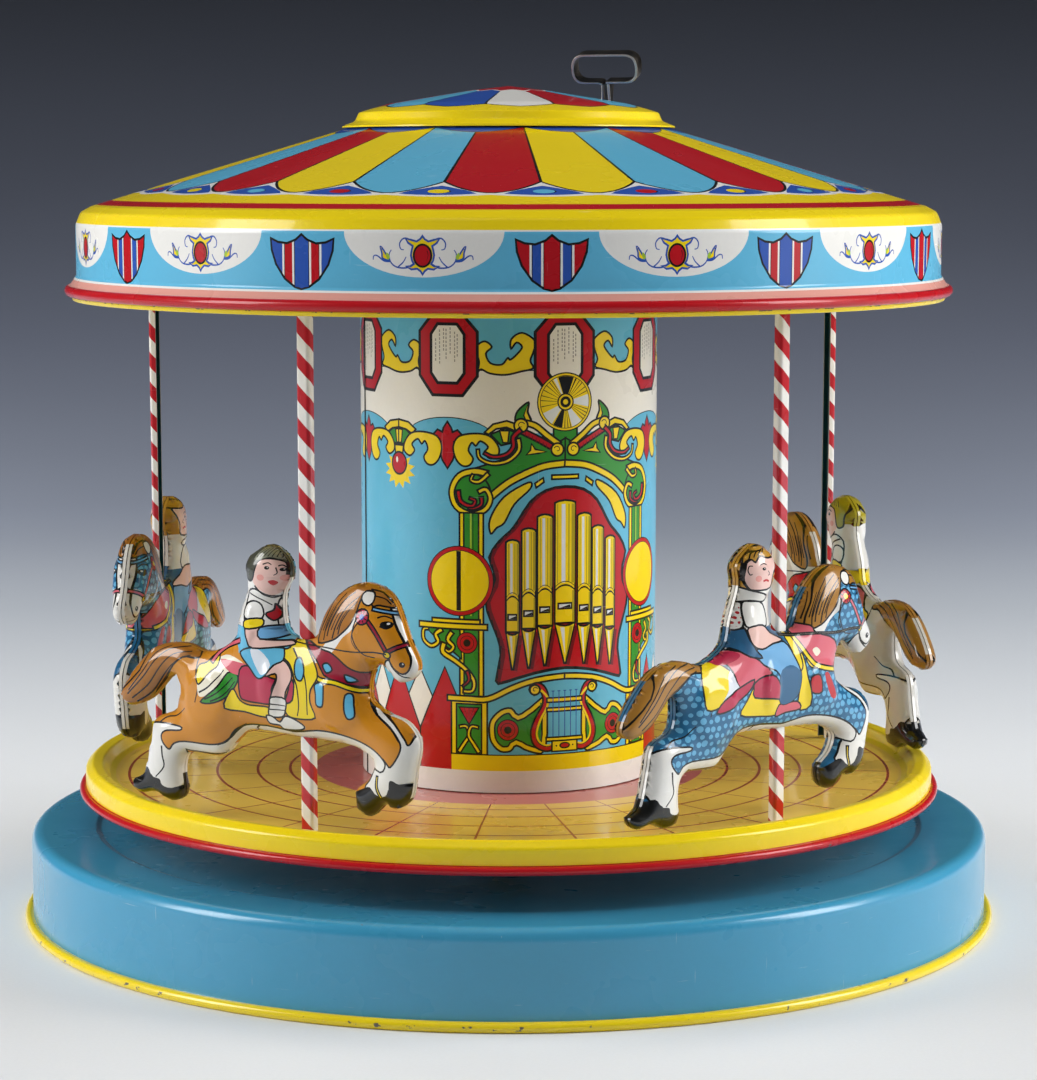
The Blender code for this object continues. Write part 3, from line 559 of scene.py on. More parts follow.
# ---- deck -------------------------------------------------------------------
def make_deck(material):
    bead = rolled((131.35, 40.0), 0.95 + TIN / 2, 180.0, 480.0, 20)
    wall = bent([(130.7, 41.2), (130.7, 46.2), (128.6, 48.1), (125.4, 47.6), (123.4, 45.0),
                 (120.6, 43.7), (6.6, 43.7)], [1.6, 1.4, 1.6, 1.6, 1.6], 5)
    profile = lengthened(np.concatenate([bead, wall]), 8.0)
    lengths = arc_lengths(profile)
    bead_end = arc_lengths(bead)[-1]
    flat_from = len(bead) + 6
    y_of = lambda r: float(np.interp(-r, -profile[flat_from:, 0], lengths[flat_from:]))
    period, scale = 15.0, 110.0
    width = math.radians(period) * scale
    board_rings = (117.5, 103.0, 90.5, 78.0, 68.0)
    inner_edge = 60.5
    shapes = rings(profile, [(0.0, "red"), (bead_end + 0.3, "yellow"), (y_of(121.6), "tan"),
                             (y_of(inner_edge), "pink")], width)
    for r in board_rings:
        shapes += plain(box(-1.0, y_of(r) - 0.42, width + 1.0, y_of(r) + 0.42), "line")
    shapes += plain(box(width / 2 - 0.36, y_of(board_rings[0]), width / 2 + 0.36,
                        y_of(inner_edge)), "line")
    sheet = Sheet()
    wear = [(0.0, bead_end, 0.10), (bead_end + 5.0, bead_end + 9.0, 0.04)]
    printed_sheet(sheet, profile, shapes, period, scale, 2.5, wear)
    inner = np.array([(130.1, 40.0), (130.1, 45.6), (128.4, 47.4), (125.8, 47.0),
                      (123.8, 44.6), (120.9, 43.1), (6.6, 43.1)])
    turned_sheet(sheet, lengthened(inner, 8.0), "tin", 120, 0.2, inward=True)
    turned_sheet(sheet, np.array([(6.6, 43.1), (6.6, 43.7)]), "tin", 120, inward=True)
    place(sheet.build("deck_print", material), "carousel", ["deck"])


# ---- roof -------------------------------------------------------------------
SHIELD = [(0, 14.7), (1.7, 13.3), (4.4, 12.3), (7.2, 12.6), (9.5, 13.6), (9.2, 10.4), (7.9, 6.7),
          (5.2, 2.9), (2.2, 0.8), (0, 0.1)]
FLAME = [(0, 5.0), (0.6, 4.2), (1.6, 3.6), (3.0, 4.0), (4.5, 4.3), (3.8, 3.2), (2.6, 2.4),
         (2.9, 1.2), (3.1, 0), (2.8, -1.4), (2.3, -2.3), (3.2, -2.9), (4.4, -2.9), (3.0, -3.7),
         (1.4, -3.5), (0.5, -4.2), (0, -5.0)]


def closed_half(half):
    """A symmetric outline from its right half, top to bottom."""
    right = np.array(half, float)
    left = right[::-1] * np.array([-1.0, 1.0])
    return np.concatenate([right, left[1:-1]])


def flower():
    """The small printed flower with its scrolls, about its own middle."""
    side = []
    for path, wide in (([(2.4, 2.2), (3.4, 4.0), (5.0, 4.4), (6.1, 3.2), (5.9, 1.7), (5.0, 1.4)], 0.5),
                       ([(2.6, -2.4), (4.4, -3.3), (7.0, -3.1), (8.6, -1.8), (9.0, 0.2),
                         (8.4, 1.4)], 0.5),
                       ([(8.6, -1.6), (10.4, -1.5), (12.2, -0.2), (13.2, -0.2), (13.4, -1.2)], 0.5),
                       ([(6.6, -3.1), (5.2, -1.8), (4.4, -0.4)], 0.4)):
        side += plain(band(path, wide, 0.25), "blue")
    side += inked(spline([(9.2, -1.2), (10.6, 1.4), (11.4, 2.2), (11.0, 0.6), (10.8, -0.8)]),
                  "yellow", 0.25, "blue")
    side += plain(spline([(9.3, -1.2), (8.8, -0.4), (9.6, 0.7), (9.9, -0.1)]), "leaf")
    shapes = both(side)
    shapes += inked(closed_half(FLAME), "yellow", 0.3, "blue")
    shapes += inked(oval(0, -0.1, 2.35, 2.9), "red", 0.3)
    shapes += plain(band([(1.2, 1.2), (1.5, 0.0), (1.1, -1.4)], 0.35, 0.1), "dark_red")
    return shapes


def shield(centre_ink, side_ink):
    """The striped shield of the valance."""
    outline = closed_half(SHIELD)
    shapes = inked(outline, "white", 0.34)
    inner = grown(outline, -0.2)
    for x0, x1, ink in ((-2.15, 2.15, centre_ink), (2.85, 5.2, side_ink), (5.9, 10.0, centre_ink),
                        (-5.2, -2.85, side_ink), (-10.0, -5.9, centre_ink)):
        shapes += plain(box(x0, 0.0, x1, 15.5), ink, inner)
    for x in (2.15, 5.2):
        shapes += both(plain(box(x - 0.12, 0.0, x + 0.12, 15.5), "ink", inner))
    return shapes


def make_canopy(material):
    bead = rolled((132.35, 191.65), 1.35 + TIN / 2, -130.0, 90.0, 18)
    edge = bent([bead[-1], (131.5, 194.6), (130.4, 196.2), (130.4, 211.0), (128.8, 214.8),
                 (125.7, 216.5), (124.0, 217.0)], [0.8, 1.2, 3.0, 2.4, 1.0], 6)
    profile = lengthened(np.concatenate([bead, edge[1:]]), 8.0)
    lengths = arc_lengths(profile)
    bead_end = arc_lengths(bead)[-1]
    z_to_y = lambda z: float(np.interp(z, profile[len(bead):, 1], lengths[len(bead):]))
    low, high = z_to_y(195.6), z_to_y(211.4)
    period, scale = 60.0, 130.1
    width = math.radians(period) * scale
    # The pink band just above the red bead is a painted highlight.
    marks = [(0.0, "red"), (bead_end - 0.6, "lip_highlight"), (low - 0.7, "white"), (low, "sky"),
             (high - 0.1, "white"), (high + 0.35, "yellow")]
    shapes = rings(profile, marks, width)
    for x in (width / 4, 3 * (width / 4)):
        shapes += moved(plain(oval(0, 0, 21.6, 12.1, 60), "white", box(-25, -20, 25, 0.3)), x, high)
        shapes += moved(flower(), x, high - 6.3)
    for x, inks in ((width / 2, ("red", "blue")), (0.0, ("blue", "red")), (width, ("blue", "red"))):
        shapes += moved(shield(*inks), x, low + 0.2)
    sheet = Sheet()
    wear = [(1.0, bead_end * 0.7, 0.09), (high + 1.0, high + 3.0, 0.03)]
    printed_sheet(sheet, profile, shapes, period, scale, PRINT_AT + 30.0, wear)
    inner = np.array([(131.3, 190.4), (129.8, 195.4), (129.8, 211.2), (128.2, 214.1),
                      (125.3, 216.0), (43.3, 240.6)])
    turned_sheet(sheet, lengthened(inner, 8.0), "tin", 120, 0.2, inward=True)
    place(sheet.build("roof_edge_print", material), "carousel", ["canopy"])


def make_cone(material):
    """The striped cone of the roof; the print repeats after six stripes, two of each ink."""
    outer, top_r, stripe = 124.1, 43.0, 15.0
    slope = math.sqrt(1.0 + CONE_RISE ** 2)
    height = lambda r: CONE_FOOT[1] + (CONE_FOOT[0] - r) * CONE_RISE + 0.31
    radii = np.linspace(outer, top_r, 12)
    profile = np.stack([radii, height(radii)], 1)
    y_of = lambda r: (outer - r) * slope
    period, scale = 6 * stripe, 90.0
    width = math.radians(period) * scale
    x_of = lambda deg: math.radians(deg) * scale
    above = lambda a, b: [(x_of(b), y_of(top_r) + 1), (x_of(a), y_of(top_r) + 1)]

    def curve(start, end, middle_r, end_r, n=14):
        t = np.linspace(-1.0, 1.0, n)
        degrees = (start + end) / 2 + t * (end - start) / 2
        radius = end_r + (middle_r - end_r) * (1 - np.abs(t) ** 1.7)
        return [(x_of(d), y_of(r)) for d, r in zip(degrees, radius)]

    shapes = rings(profile, [(0.0, "red"), (y_of(119.6), "yellow")], width)
    for i in range(-1, 7):
        m = stripe * (i + 0.5)
        lower = curve(m - stripe, m, 113.2, 111.6)
        shapes += plain(lower + curve(m - stripe, m, 101.0, 111.4)[::-1], "white")
    for i in range(-1, 7):
        a, b = stripe * i, stripe * (i + 1)
        shapes += plain(curve(a, b, 111.8, 102.3) + above(a, b), "white")
        shapes += inked(curve(a, b, 110.0, 100.2) + above(a, b), ("yellow", "sky", "red")[i % 3],
                        0.42)
    for i in range(0, 7):
        a, half = stripe * i, 5.6
        left = [(x_of(a - half + half * k / 7), y_of(110.6 - 6.9 * (k / 7) ** 0.75))
                for k in range(8)]
        right = [(2 * x_of(a) - x, y) for x, y in left[::-1][1:]]
        lower = curve(a - half, a + half, 111.9, 110.8, 9)[::-1]
        shapes += plain(left + right + lower[1:-1], "blue")
        dot = oval(x_of(a), y_of(108.6), 2.5, 1.75, 20)
        shapes += plain(dot + np.array([0.35, -0.1]), "ink")
        shapes += plain(dot, ("sky", "red", "yellow")[i % 3])
    for i in range(-1, 3):
        a, b = 2 * stripe * i, 2 * stripe * (i + 1)
        swag = np.array(curve(a, b, 54.2, 49.4, 20))
        shapes += plain(np.concatenate([swag, above(a, b)]), "blue")
        shapes += plain(np.concatenate([swag - [0, 0.2], swag[::-1] + [0, 0.2]]), "ink")
    sheet = Sheet()
    printed_sheet(sheet, profile, shapes, period, scale, PRINT_AT, [(0.0, 0.5, 0.1)])
    place(sheet.build("roof_cone_print", material), "carousel", [])


def make_cap(material):
    brim_z = CONE_FOOT[1] + (CONE_FOOT[0] - 50.0) * CONE_RISE + TIN + 0.36
    profile = bent([(50.3, brim_z - 0.1), (50.2, brim_z + 0.35), (46.4, 241.7), (45.3, 244.2),
                    (42.8, 245.0), (36.0, 246.9), (12.0, 250.8), (0.01, 252.2)],
                   [0.15, 1.6, 0.9, 0.8, 2.0, 4.0], 6)
    profile = lengthened(profile, 6.0)
    lengths = arc_lengths(profile)
    y_of = lambda r: float(np.interp(-r, -profile[:, 0], lengths))
    period, scale = 120.0, 30.0
    x_of = lambda deg: math.radians(deg) * scale
    above = lambda a, b: [(x_of(b), lengths[-1] + 1), (x_of(a), lengths[-1] + 1)]
    shapes = rings(profile, [(0.0, "yellow")], math.radians(period) * scale)
    for i in range(-1, 5):
        a = 30.0 * i - 15.0
        valley = [(x_of(a + 30.0 * k / 10), y_of(38.6 + 2.6 * (1 - abs(k / 5 - 1) ** 1.3)))
                  for k in range(11)]
        shapes += inked(valley + above(a, a + 30.0), ("white", "red", "sky", "blue")[i % 4], 0.3)
    star = [(x_of(15.0 * i), y_of(13.4 if i % 2 else 10.8)) for i in range(-1, 10)]
    star += above(-15.0, 150.0)
    shapes += plain(np.array(star) - np.array([0, 0.9]), "white")
    shapes += plain(star, "red")
    sheet = Sheet()
    wear = [(y_of(50.3), y_of(50.1), 0.05)]
    printed_sheet(sheet, profile, shapes, period, scale, PRINT_AT, wear, step=4.0)
    inner = pushed(lengthened(profile[3:-1], 8.0), -TIN)
    turned_sheet(sheet, inner, "tin", 120, 0.1, inward=True)
    place(sheet.build("roof_cap_print", material), "carousel", ["roof_cap"])


def make_ceiling(material):
    outer = bent([(132.0, 189.75), (131.6, 188.75), (127.7, 188.7), (125.2, 190.3), (6.6, 190.3)],
                 [0.5, 1.0, 1.0], 4)
    inner = outer + np.array([0.0, TIN])
    sheet = Sheet()
    turned_sheet(sheet, lengthened(outer[::-1], 8.0), "yellow", 180, 0.1)
    turned_sheet(sheet, lengthened(inner, 8.0), "tin", 120)
    turned_sheet(sheet, np.array([outer[0], inner[0]]), "yellow", 180, 0.2)
    place(sheet.build("ceiling_print", material), "carousel", ["ceiling"])


# ---- drum: the printed organ front and its surroundings ----------------------
def rosette(x, y, r):
    shapes = []
    for share, ink in ((1.0, "ink"), (0.90, "red"), (0.66, "ink"), (0.60, "red"), (0.34, "ink")):
        shapes += plain(oval(x, y, r * share), ink)
    return shapes


def curl(x, y, r, turn=1.0, ink="yellow"):
    """A rolled scroll end: a round head with a curled key line."""
    a = np.linspace(0.4, 5.2, 14)
    line = [(x + turn * r * (0.62 - 0.09 * t) * math.cos(t),
             y + r * (0.62 - 0.09 * t) * math.sin(t)) for t in a]
    return inked(oval(x, y, r), ink) + plain(band(line, 0.3, 0.2, 2), "ink")


def octagon(x):
    """A framed panel of plain dashes, in place of the small print on the original."""
    def eight(half, flat, z0, z1, c0, c1):
        return [(x - flat, z0), (x + flat, z0), (x + half, z0 + c0), (x + half, z1 - c1),
                (x + flat, z1), (x - flat, z1), (x - half, z1 - c1), (x - half, z0 + c0)]
    shapes = inked(eight(9.25, 4.8, 162.0, 185.6, 5.7, 5.0), "red", 0.5)
    shapes += inked(eight(5.3, 3.1, 165.6, 182.8, 2.9, 3.0), "white", 0.5)
    for dx, top, low in ((-3.9, 178.8, 172.0), (-2.6, 180.4, 171.2), (-1.3, 181.4, 175.0),
                         (-0.5, 181.6, 172.6), (0.8, 181.5, 174.2), (2.2, 180.8, 171.8),
                         (3.0, 180.0, 173.4)):
        for z in np.arange(low, top, 1.15):
            shapes += plain(box(x + dx, z, x + dx + 0.34, z + 0.75), "grey")
    return shapes


# Half outlines run from top to bottom; the others are whole.
GARLAND = [(-8.4, 178.0), (-7.9, 174.9), (-7.0, 172.3), (-7.8, 170.1), (-4.4, 169.2), (0.2, 168.2),
           (4.7, 168.6), (7.3, 169.8), (8.4, 168.9), (7.9, 171.8), (8.6, 174.6), (8.2, 176.9),
           (6.1, 177.9), (4.2, 176.3), (5.9, 174.4), (4.6, 171.6), (1.3, 171.2), (-0.4, 173.1),
           (-1.2, 172.6), (-3.2, 174.3), (-4.6, 176.3), (-3.0, 177.6), (-1.4, 175.8), (-1.5, 178.6),
           (-4.6, 180.4)]
SWIRL = [(-32.7, 143.5), (-33.5, 147.0), (-31.8, 150.0), (-27.2, 151.0), (-22.7, 150.4),
         (-20.1, 147.6), (-19.9, 145.0), (-22.2, 143.7), (-24.0, 145.4), (-23.0, 147.2),
         (-25.2, 148.8), (-26.6, 147.4), (-27.8, 148.3), (-28.8, 146.0), (-27.4, 143.6),
         (-28.6, 141.6), (-30.8, 141.5)]
FLEUR = [(0, 154.3), (1.3, 152.4), (1.6, 151.2), (3.2, 151.9), (4.9, 150.2), (3.7, 148.9),
         (2.1, 148.4), (2.7, 146.2), (1.7, 143.0), (0, 140.5)]
PIPE_PANEL = [(0, 135.2), (6.0, 134.2), (10.7, 130.8), (14.1, 125.5), (16.4, 122.4), (19.8, 119.2),
              (22.6, 114.6), (21.2, 110.5), (21.3, 105.9), (23.6, 101.2), (22.2, 96.0),
              (20.1, 90.7), (19.2, 85.5), (20.6, 77.8), (18.7, 77.3), (15.2, 78.4), (11.0, 79.6),
              (6.6, 80.6), (0, 81.3)]
# Each pipe: middle, half width, top, mouth, foot and tip.
PIPES = [(0.0, 3.25, 131.0, 105.4, 94.7, 82.6), (6.25, 2.3, 127.0, 104.5, 94.2, 82.2),
         (11.1, 2.1, 123.0, 103.5, 93.4, 81.6), (15.85, 1.95, 119.6, 102.4, 92.4, 81.2)]
TREFOIL = [(-22.7, 62.5), (-22.2, 66.0), (-19.3, 69.0), (-16.2, 69.6), (-14.1, 67.6), (-10.6, 69.7),
           (-6.0, 72.0), (-6.0, 57.0), (-11.0, 56.6), (-14.7, 58.4), (-16.4, 56.7), (-19.5, 56.6),
           (-22.0, 59.2)]


def pipe(x, half, top, mouth, foot, tip):
    """One organ pipe with its shading, mouth and pointed foot."""
    shapes = inked([(x - half, foot), (x - half, top - 0.5), (x - half * 0.6, top), (x, top + 0.25),
                    (x + half * 0.6, top), (x + half, top - 0.5), (x + half, foot)], "yellow", 0.34)
    low, high = foot + 0.2, top - 0.9
    shapes += plain(box(x - half + 0.75, mouth + 1.2, x - half + 1.0, high), "olive")
    shapes += plain(box(x - half * 0.35, mouth + 1.4, x + half * 0.02, high), "pale")
    shapes += plain(box(x + half * 0.30, mouth + 1.4, x + half * 0.42, high), "olive")
    shapes += plain(box(x + half * 0.62, mouth + 1.2, x + half * 0.96, high), "olive")
    arch = spline([(x - half, mouth - 0.7), (x - half * 0.5, mouth + 0.5), (x, mouth + 0.9),
                   (x + half * 0.5, mouth + 0.5), (x + half, mouth - 0.7)], False)
    shapes += plain(np.concatenate([arch, arch[::-1] + [0, -0.55]]), "ink")
    shapes += plain(np.concatenate([arch + [0, 0.95], arch[::-1] + [0, 0.7]]), "ink")
    z = mouth - 6.4
    shapes += inked(box(x - half * 0.66, z, x + half * 0.66, z + 1.6), "pale", 0.3)
    shapes += plain([(x - half * 0.5, z + 0.3), (x + half * 0.55, z + 0.3), (x + half * 0.5, z + 1.2)],
                    "ink")
    shapes += plain(box(x + half * 0.70, low, x + half * 0.92, mouth - 1.0), "olive")
    cone = [(x - half, foot), (x - half * 0.5, foot - 0.6), (x, foot - 0.8),
            (x + half * 0.5, foot - 0.6), (x + half, foot), (x + 0.25, tip), (x - 0.25, tip)]
    shapes += inked(cone, "yellow", 0.34)
    shapes += plain([(x - half * 0.45, foot - 1.2), (x - half * 0.05, foot - 1.3), (x, tip + 2.5)],
                    "pale")
    shapes += plain([(x + half * 0.45, foot - 1.1), (x + half * 0.8, foot - 0.9), (x + 0.15, tip + 1)],
                    "olive")
    return shapes


def wheel_disc(x, y, r):
    """The gilt disc over the organ: spokes of light and shade about a boss."""
    shapes = plain(oval(x, y, r, n=40), "ink") + plain(oval(x, y, r * 0.955, n=40), "yellow")
    shapes += plain(oval(x, y, r * 0.90, n=40), "ink") + plain(oval(x, y, r * 0.875, n=40), "yellow")

    def wedge(a, b, ink, far=0.87):
        points = [(x, y)]
        for k in range(7):
            t = math.radians(a + (b - a) * k / 6)
            points.append((x + r * far * math.cos(t), y + r * far * math.sin(t)))
        return plain(points, ink)

    for a, b, ink in ((70, 108, "ink"), (240, 262, "ink"), (205, 236, "pale"), (286, 312, "pale"),
                      (-12, 16, "pale"), (112, 120, "pale"), (62, 66, "ink")):
        shapes += wedge(a, b, ink)
    for a in (124, 131, 140, 152, 165, 176, 190, 268, 276, 283, 318, 326, 334, 342, 24, 34, 46, 54):
        shapes += wedge(a - 1.0, a + 1.0, "ink")
    for share, ink in ((0.30, "ink"), (0.25, "yellow"), (0.19, "ink"), (0.09, "yellow")):
        shapes += plain(oval(x, y, r * share), ink)
    return shapes


def facade_left():
    """Left half of the organ front, above its base."""
    s = inked([(-22.1, 132.0), (-26, 128.6), (-33.0, 129.6), (-34.4, 133.8), (-32.8, 138.0),
               (-27.5, 140.6), (-22, 142.4), (-17, 144.0), (-15.4, 148.5), (-13.4, 152.0),
               (-2.4, 148.2), (0.1, 149.6), (0.1, 142.6), (-8, 140.4), (-17, 136.0)], "green")
    s += inked([(-24.0, 151.4), (-21.5, 153.8), (-17.5, 154.8), (-14.6, 153.8), (-15.0, 151.8),
                (-17.6, 152.9), (-20.6, 152.4), (-22.8, 150.8)], "yellow")
    s += inked([(-22.2, 150.8), (-18.0, 152.6), (-15.4, 151.6), (-16.6, 148.2), (-19.2, 147.6)],
               "green")
    s += inked([(-19.6, 151.9), (-16.8, 151.9), (-17.2, 148.4), (-18.6, 148.4)], "yellow", 0.25)
    s += inked(spline([(-11.2, 160.2), (-14.4, 157.6), (-15.0, 154.6), (-12.6, 154.8), (-10.4, 154.8),
                       (-11.4, 157.4)]), "green")
    s += inked([(-11.4, 159.6), (-12.6, 156.4), (-12.0, 154.9), (-10.6, 154.9), (-11.6, 157.4)],
               "yellow", 0.22)
    s += scroll([(-13.2, 151.8), (-8.0, 149.2), (-3.2, 146.4)], "red", 1.7)
    for k in range(9):
        x = -12.2 + k * 1.05
        s += plain(box(x, 151.6 - (x + 12.2) * 0.58 - 1.3, x + 0.22, 151.6 - (x + 12.2) * 0.58),
                   "dark_red")
    s += scroll([(-13.6, 154.4), (-9.4, 153.4), (-5.6, 150.4), (-1.8, 147.6)], "yellow", 1.7)
    s += curl(-13.4, 153.4, 2.0) + curl(-2.5, 146.2, 1.9, -1.0)
    s += scroll([(-13.4, 152.2), (-15.6, 150.0), (-15.6, 147.2), (-17.6, 144.9), (-21.4, 144.2),
                 (-24.2, 145.4)], "red", 1.4, 0.9)
    s += scroll([(-14.2, 149.6), (-14.0, 146.2), (-17.2, 143.1), (-21.8, 142.3), (-25.4, 143.8),
                 (-26.0, 146.4)], "yellow", 1.3, 0.9)
    s += inked([(-10.3, 148.0), (-9.2, 146.4), (-5.8, 145.6), (-8.4, 145.2), (-11.8, 144.8),
                (-10.6, 146.2)], "yellow", 0.28)
    s += scroll([(-22.3, 132.4), (-17.4, 136.4), (-12.4, 139.1), (-6.4, 141.4), (0.2, 142.1)],
                "yellow", 2.0)
    s += inked(oval(-28.2, 133.3, 6.0, 6.0), "green")
    s += scroll([(-23.0, 139.2), (-27.0, 139.9), (-31.6, 138.4), (-34.0, 134.0), (-32.6, 129.4),
                 (-28.2, 127.3), (-24.0, 128.6), (-22.3, 131.8), (-23.6, 134.6), (-25.9, 133.8)],
                "yellow", 1.9, 1.3)
    s += scroll([(-22.8, 139.3), (-25.6, 136.9), (-28.0, 137.3), (-27.4, 139.0)], "yellow", 1.3, 0.8)
    s += scroll([(-32.0, 134.2), (-31.2, 130.9), (-28.0, 129.6), (-26.8, 131.2), (-28.6, 132.0)],
                "red", 1.4, 0.8)
    s += scroll([(-25.0, 132.4), (-25.0, 130.2), (-27.0, 129.0), (-29.0, 128.9)], "red", 1.2, 0.6)
    s += inked(box(-31.6, 73.0, -24.4, 127.6), "yellow")
    s += inked(box(-30.3, 73.0, -25.8, 127.6), "green", 0.28)
    s += plain(box(-28.4, 97.0, -27.9, 127.4), "leaf") + plain(box(-27.6, 97.0, -27.4, 127.4), "ink")
    s += inked(spline([(-22.2, 121.6), (-22.4, 126.0), (-18.3, 132.5), (-11.2, 136.7), (-10.6, 134.9),
                       (-15.3, 130.3), (-18.2, 124.9), (-20.4, 123.4)]), "yellow")
    s += inked([(-9.3, 136.4), (-6.8, 138.0), (-6.6, 136.7), (-8.9, 135.1)], "yellow")
    return s


def facade_low_left():
    """Left half of the organ front's base."""
    s = inked([(-43.0, 92.9), (-31.6, 92.9), (-31.0, 84.0), (-33.6, 86.0), (-37.6, 88.6)], "green")
    s += scroll([(-37.2, 92.6), (-39.4, 91.0), (-38.6, 88.8), (-41.0, 87.4), (-43.6, 89.2),
                 (-43.6, 92.2), (-41.8, 92.6)], "yellow", 1.4, 1.0)
    s += scroll([(-34.0, 92.0), (-35.4, 89.6), (-33.6, 87.6), (-35.2, 86.0), (-37.4, 87.6)],
                "yellow", 1.5, 0.9)
    s += rosette(-29.4, 88.9, 3.3)
    s += scroll([(-36.6, 88.6), (-37.0, 85.8), (-33.4, 83.6), (-29.8, 81.0), (-27.3, 77.6),
                 (-27.8, 74.6), (-30.6, 74.4)], "yellow", 1.7, 1.0)
    s += scroll([(-29.4, 80.6), (-28.8, 77.8), (-30.8, 75.8)], "red", 1.2, 0.6)
    s += inked(box(-40.6, 94.6, -25.4, 95.9), "yellow")
    s += inked(box(-45.2, 92.9, -23.2, 94.6), "yellow")
    trefoil = spline(TREFOIL, True, 3)
    s += inked(trefoil, "yellow")
    s += inked(grown(trefoil, -1.6), "green", 0.28)
    s += rosette(-17.2, 63.0, 3.3)
    s += inked(box(-34.3, 55.4, -23.3, 71.6), "yellow")
    s += inked(box(-32.7, 55.6, -25.0, 70.6), "green", 0.28)
    s += inked([(-31.9, 69.6), (-25.8, 69.6), (-28.8, 64.4)], "red", 0.28)
    for k in (-1.6, 0.0, 1.6):
        s += plain([(-28.9 + k, 69.6), (-28.7 + k, 69.6), (-28.8, 65.6)], "ink")
    half = scroll([(-32.0, 56.0), (-30.2, 58.8), (-28.8, 61.2), (-29.6, 63.8), (-31.8, 63.6)],
                  "yellow", 1.2, 0.9, 0.28)
    s += both(half, -28.85)
    s += scroll([(-35.6, 72.2), (-29.0, 72.2), (-23.0, 72.3), (-16.4, 75.4), (-10.6, 77.5),
                 (-4.7, 78.5), (0.1, 78.8)], "yellow", 1.7)
    s += scroll([(-8.9, 74.2), (-10.0, 75.2), (-8.9, 76.2), (-7.2, 75.6), (-6.0, 73.0),
                 (-6.2, 70.0), (-8.2, 66.4), (-9.6, 62.4), (-8.8, 58.8), (-6.0, 57.2),
                 (-3.4, 57.6)], "red", 1.9, 1.6)
    s += plain(band([(-7.4, 74.9), (-5.4, 72.6), (-5.5, 69.8), (-7.4, 66.2), (-8.6, 62.4),
                     (-8.0, 59.6), (-5.8, 58.2), (-3.8, 58.6)], 0.7, 0.5), "yellow")
    s += curl(-9.2, 75.0, 1.5)
    return s


def organ():
    """The whole organ front, about its own centre line."""
    s = inked([(-3.7, 146.0), (3.7, 146.0), (3.7, 152.6), (-3.7, 152.6)], "green")
    s += both(facade_left())
    s += inked(box(-4.2, 137.5, 4.2, 138.7), "yellow")
    panel = spline(closed_half(PIPE_PANEL), True, 2)
    s += inked(panel, "red", 0.5)
    s += plain(np.concatenate([panel[len(panel) // 2:], panel[len(panel) // 2:][::-1] + [1.3, 0]]),
               "dark_red", grown(panel, -0.2))
    for x, half, _, _, foot, tip in PIPES:
        for side in ((1,) if x == 0.0 else (-1, 1)):
            shadow = [(x * side - half, foot - 1), (x * side + half + 1.1, foot - 1),
                      (x * side + 1.4, tip - 0.6), (x * side - 0.6, tip)]
            s += plain(shadow, "dark_red", grown(panel, -0.3))
    for values in PIPES:
        s += pipe(*values)
        if values[0] > 0.0:
            s += pipe(-values[0], *values[1:])
    s += both(facade_low_left())
    for y0, y1 in ((71.1, 72.4), (68.3, 69.4)):
        s += inked(box(-5.6, y0, 5.6, y1), "yellow", 0.28)
    for k in range(5):
        x = -3.7 + 1.85 * k
        s += plain(box(x - 0.14, 60.6, x + 0.14, 74.6), "blue")
        s += plain(box(x - 0.45, 74.3, x + 0.45, 74.6), "blue")
    s += inked(box(-4.0, 56.2, 4.0, 59.4), "yellow", 0.28)
    s += inked(box(-5.8, 59.4, 5.8, 60.5), "yellow", 0.28)
    s += inked(oval(0.0, 57.9, 1.5, 0.8, 16), "red", 0.25)
    s += both(plain(oval(2.6, 57.9, 0.28, n=8), "ink"))
    s += plain(box(-34.3, 50.4, 34.3, 55.4), "yellow") + plain(box(-34.3, 55.25, 34.3, 55.6), "ink")
    for x in (-31.8, 31.8):
        for r, ink in ((10.5, "ink"), (10.2, "red"), (9.2, "ink"), (9.0, "yellow")):
            s += plain(oval(x, 107.3, r, n=40), ink)
    s += plain(box(-32.6, 98.5, -31.2, 116.2), "ink")
    return s


def sunburst():
    """A red drop in a yellow sun, hung under a crest."""
    spikes = []
    for k in range(24):
        a = 2 * math.pi * k / 24
        r = 6.6 if k % 2 else 4.4
        spikes.append((r * math.cos(a), 139.2 + 0.85 * r * math.sin(a)))
    crest = inked([(0.1, 154.2), (-4.0, 153.6), (-6.8, 151.6), (-5.4, 150.2), (-3.0, 151.4),
                   (0.1, 151.9)], "yellow")
    crest += inked([(0.1, 151.8), (-2.8, 151.4), (-4.6, 150.2), (-2.2, 147.2), (0.1, 146.6)],
                   "green")
    crest += inked([(0.1, 151.4), (-1.5, 151.2), (-1.0, 147.4), (0.1, 147.2)], "yellow", 0.25)
    return (plain(spikes, "yellow") + both(crest)
            + inked([(-1.4, 143.0), (1.4, 143.0), (1.9, 146.6), (-1.9, 146.6)], "yellow")
            + inked(oval(0, 141.2, 3.1, 3.3), "red")
            + plain(oval(-0.9, 142.2, 0.45, 0.9, 12), "white"))


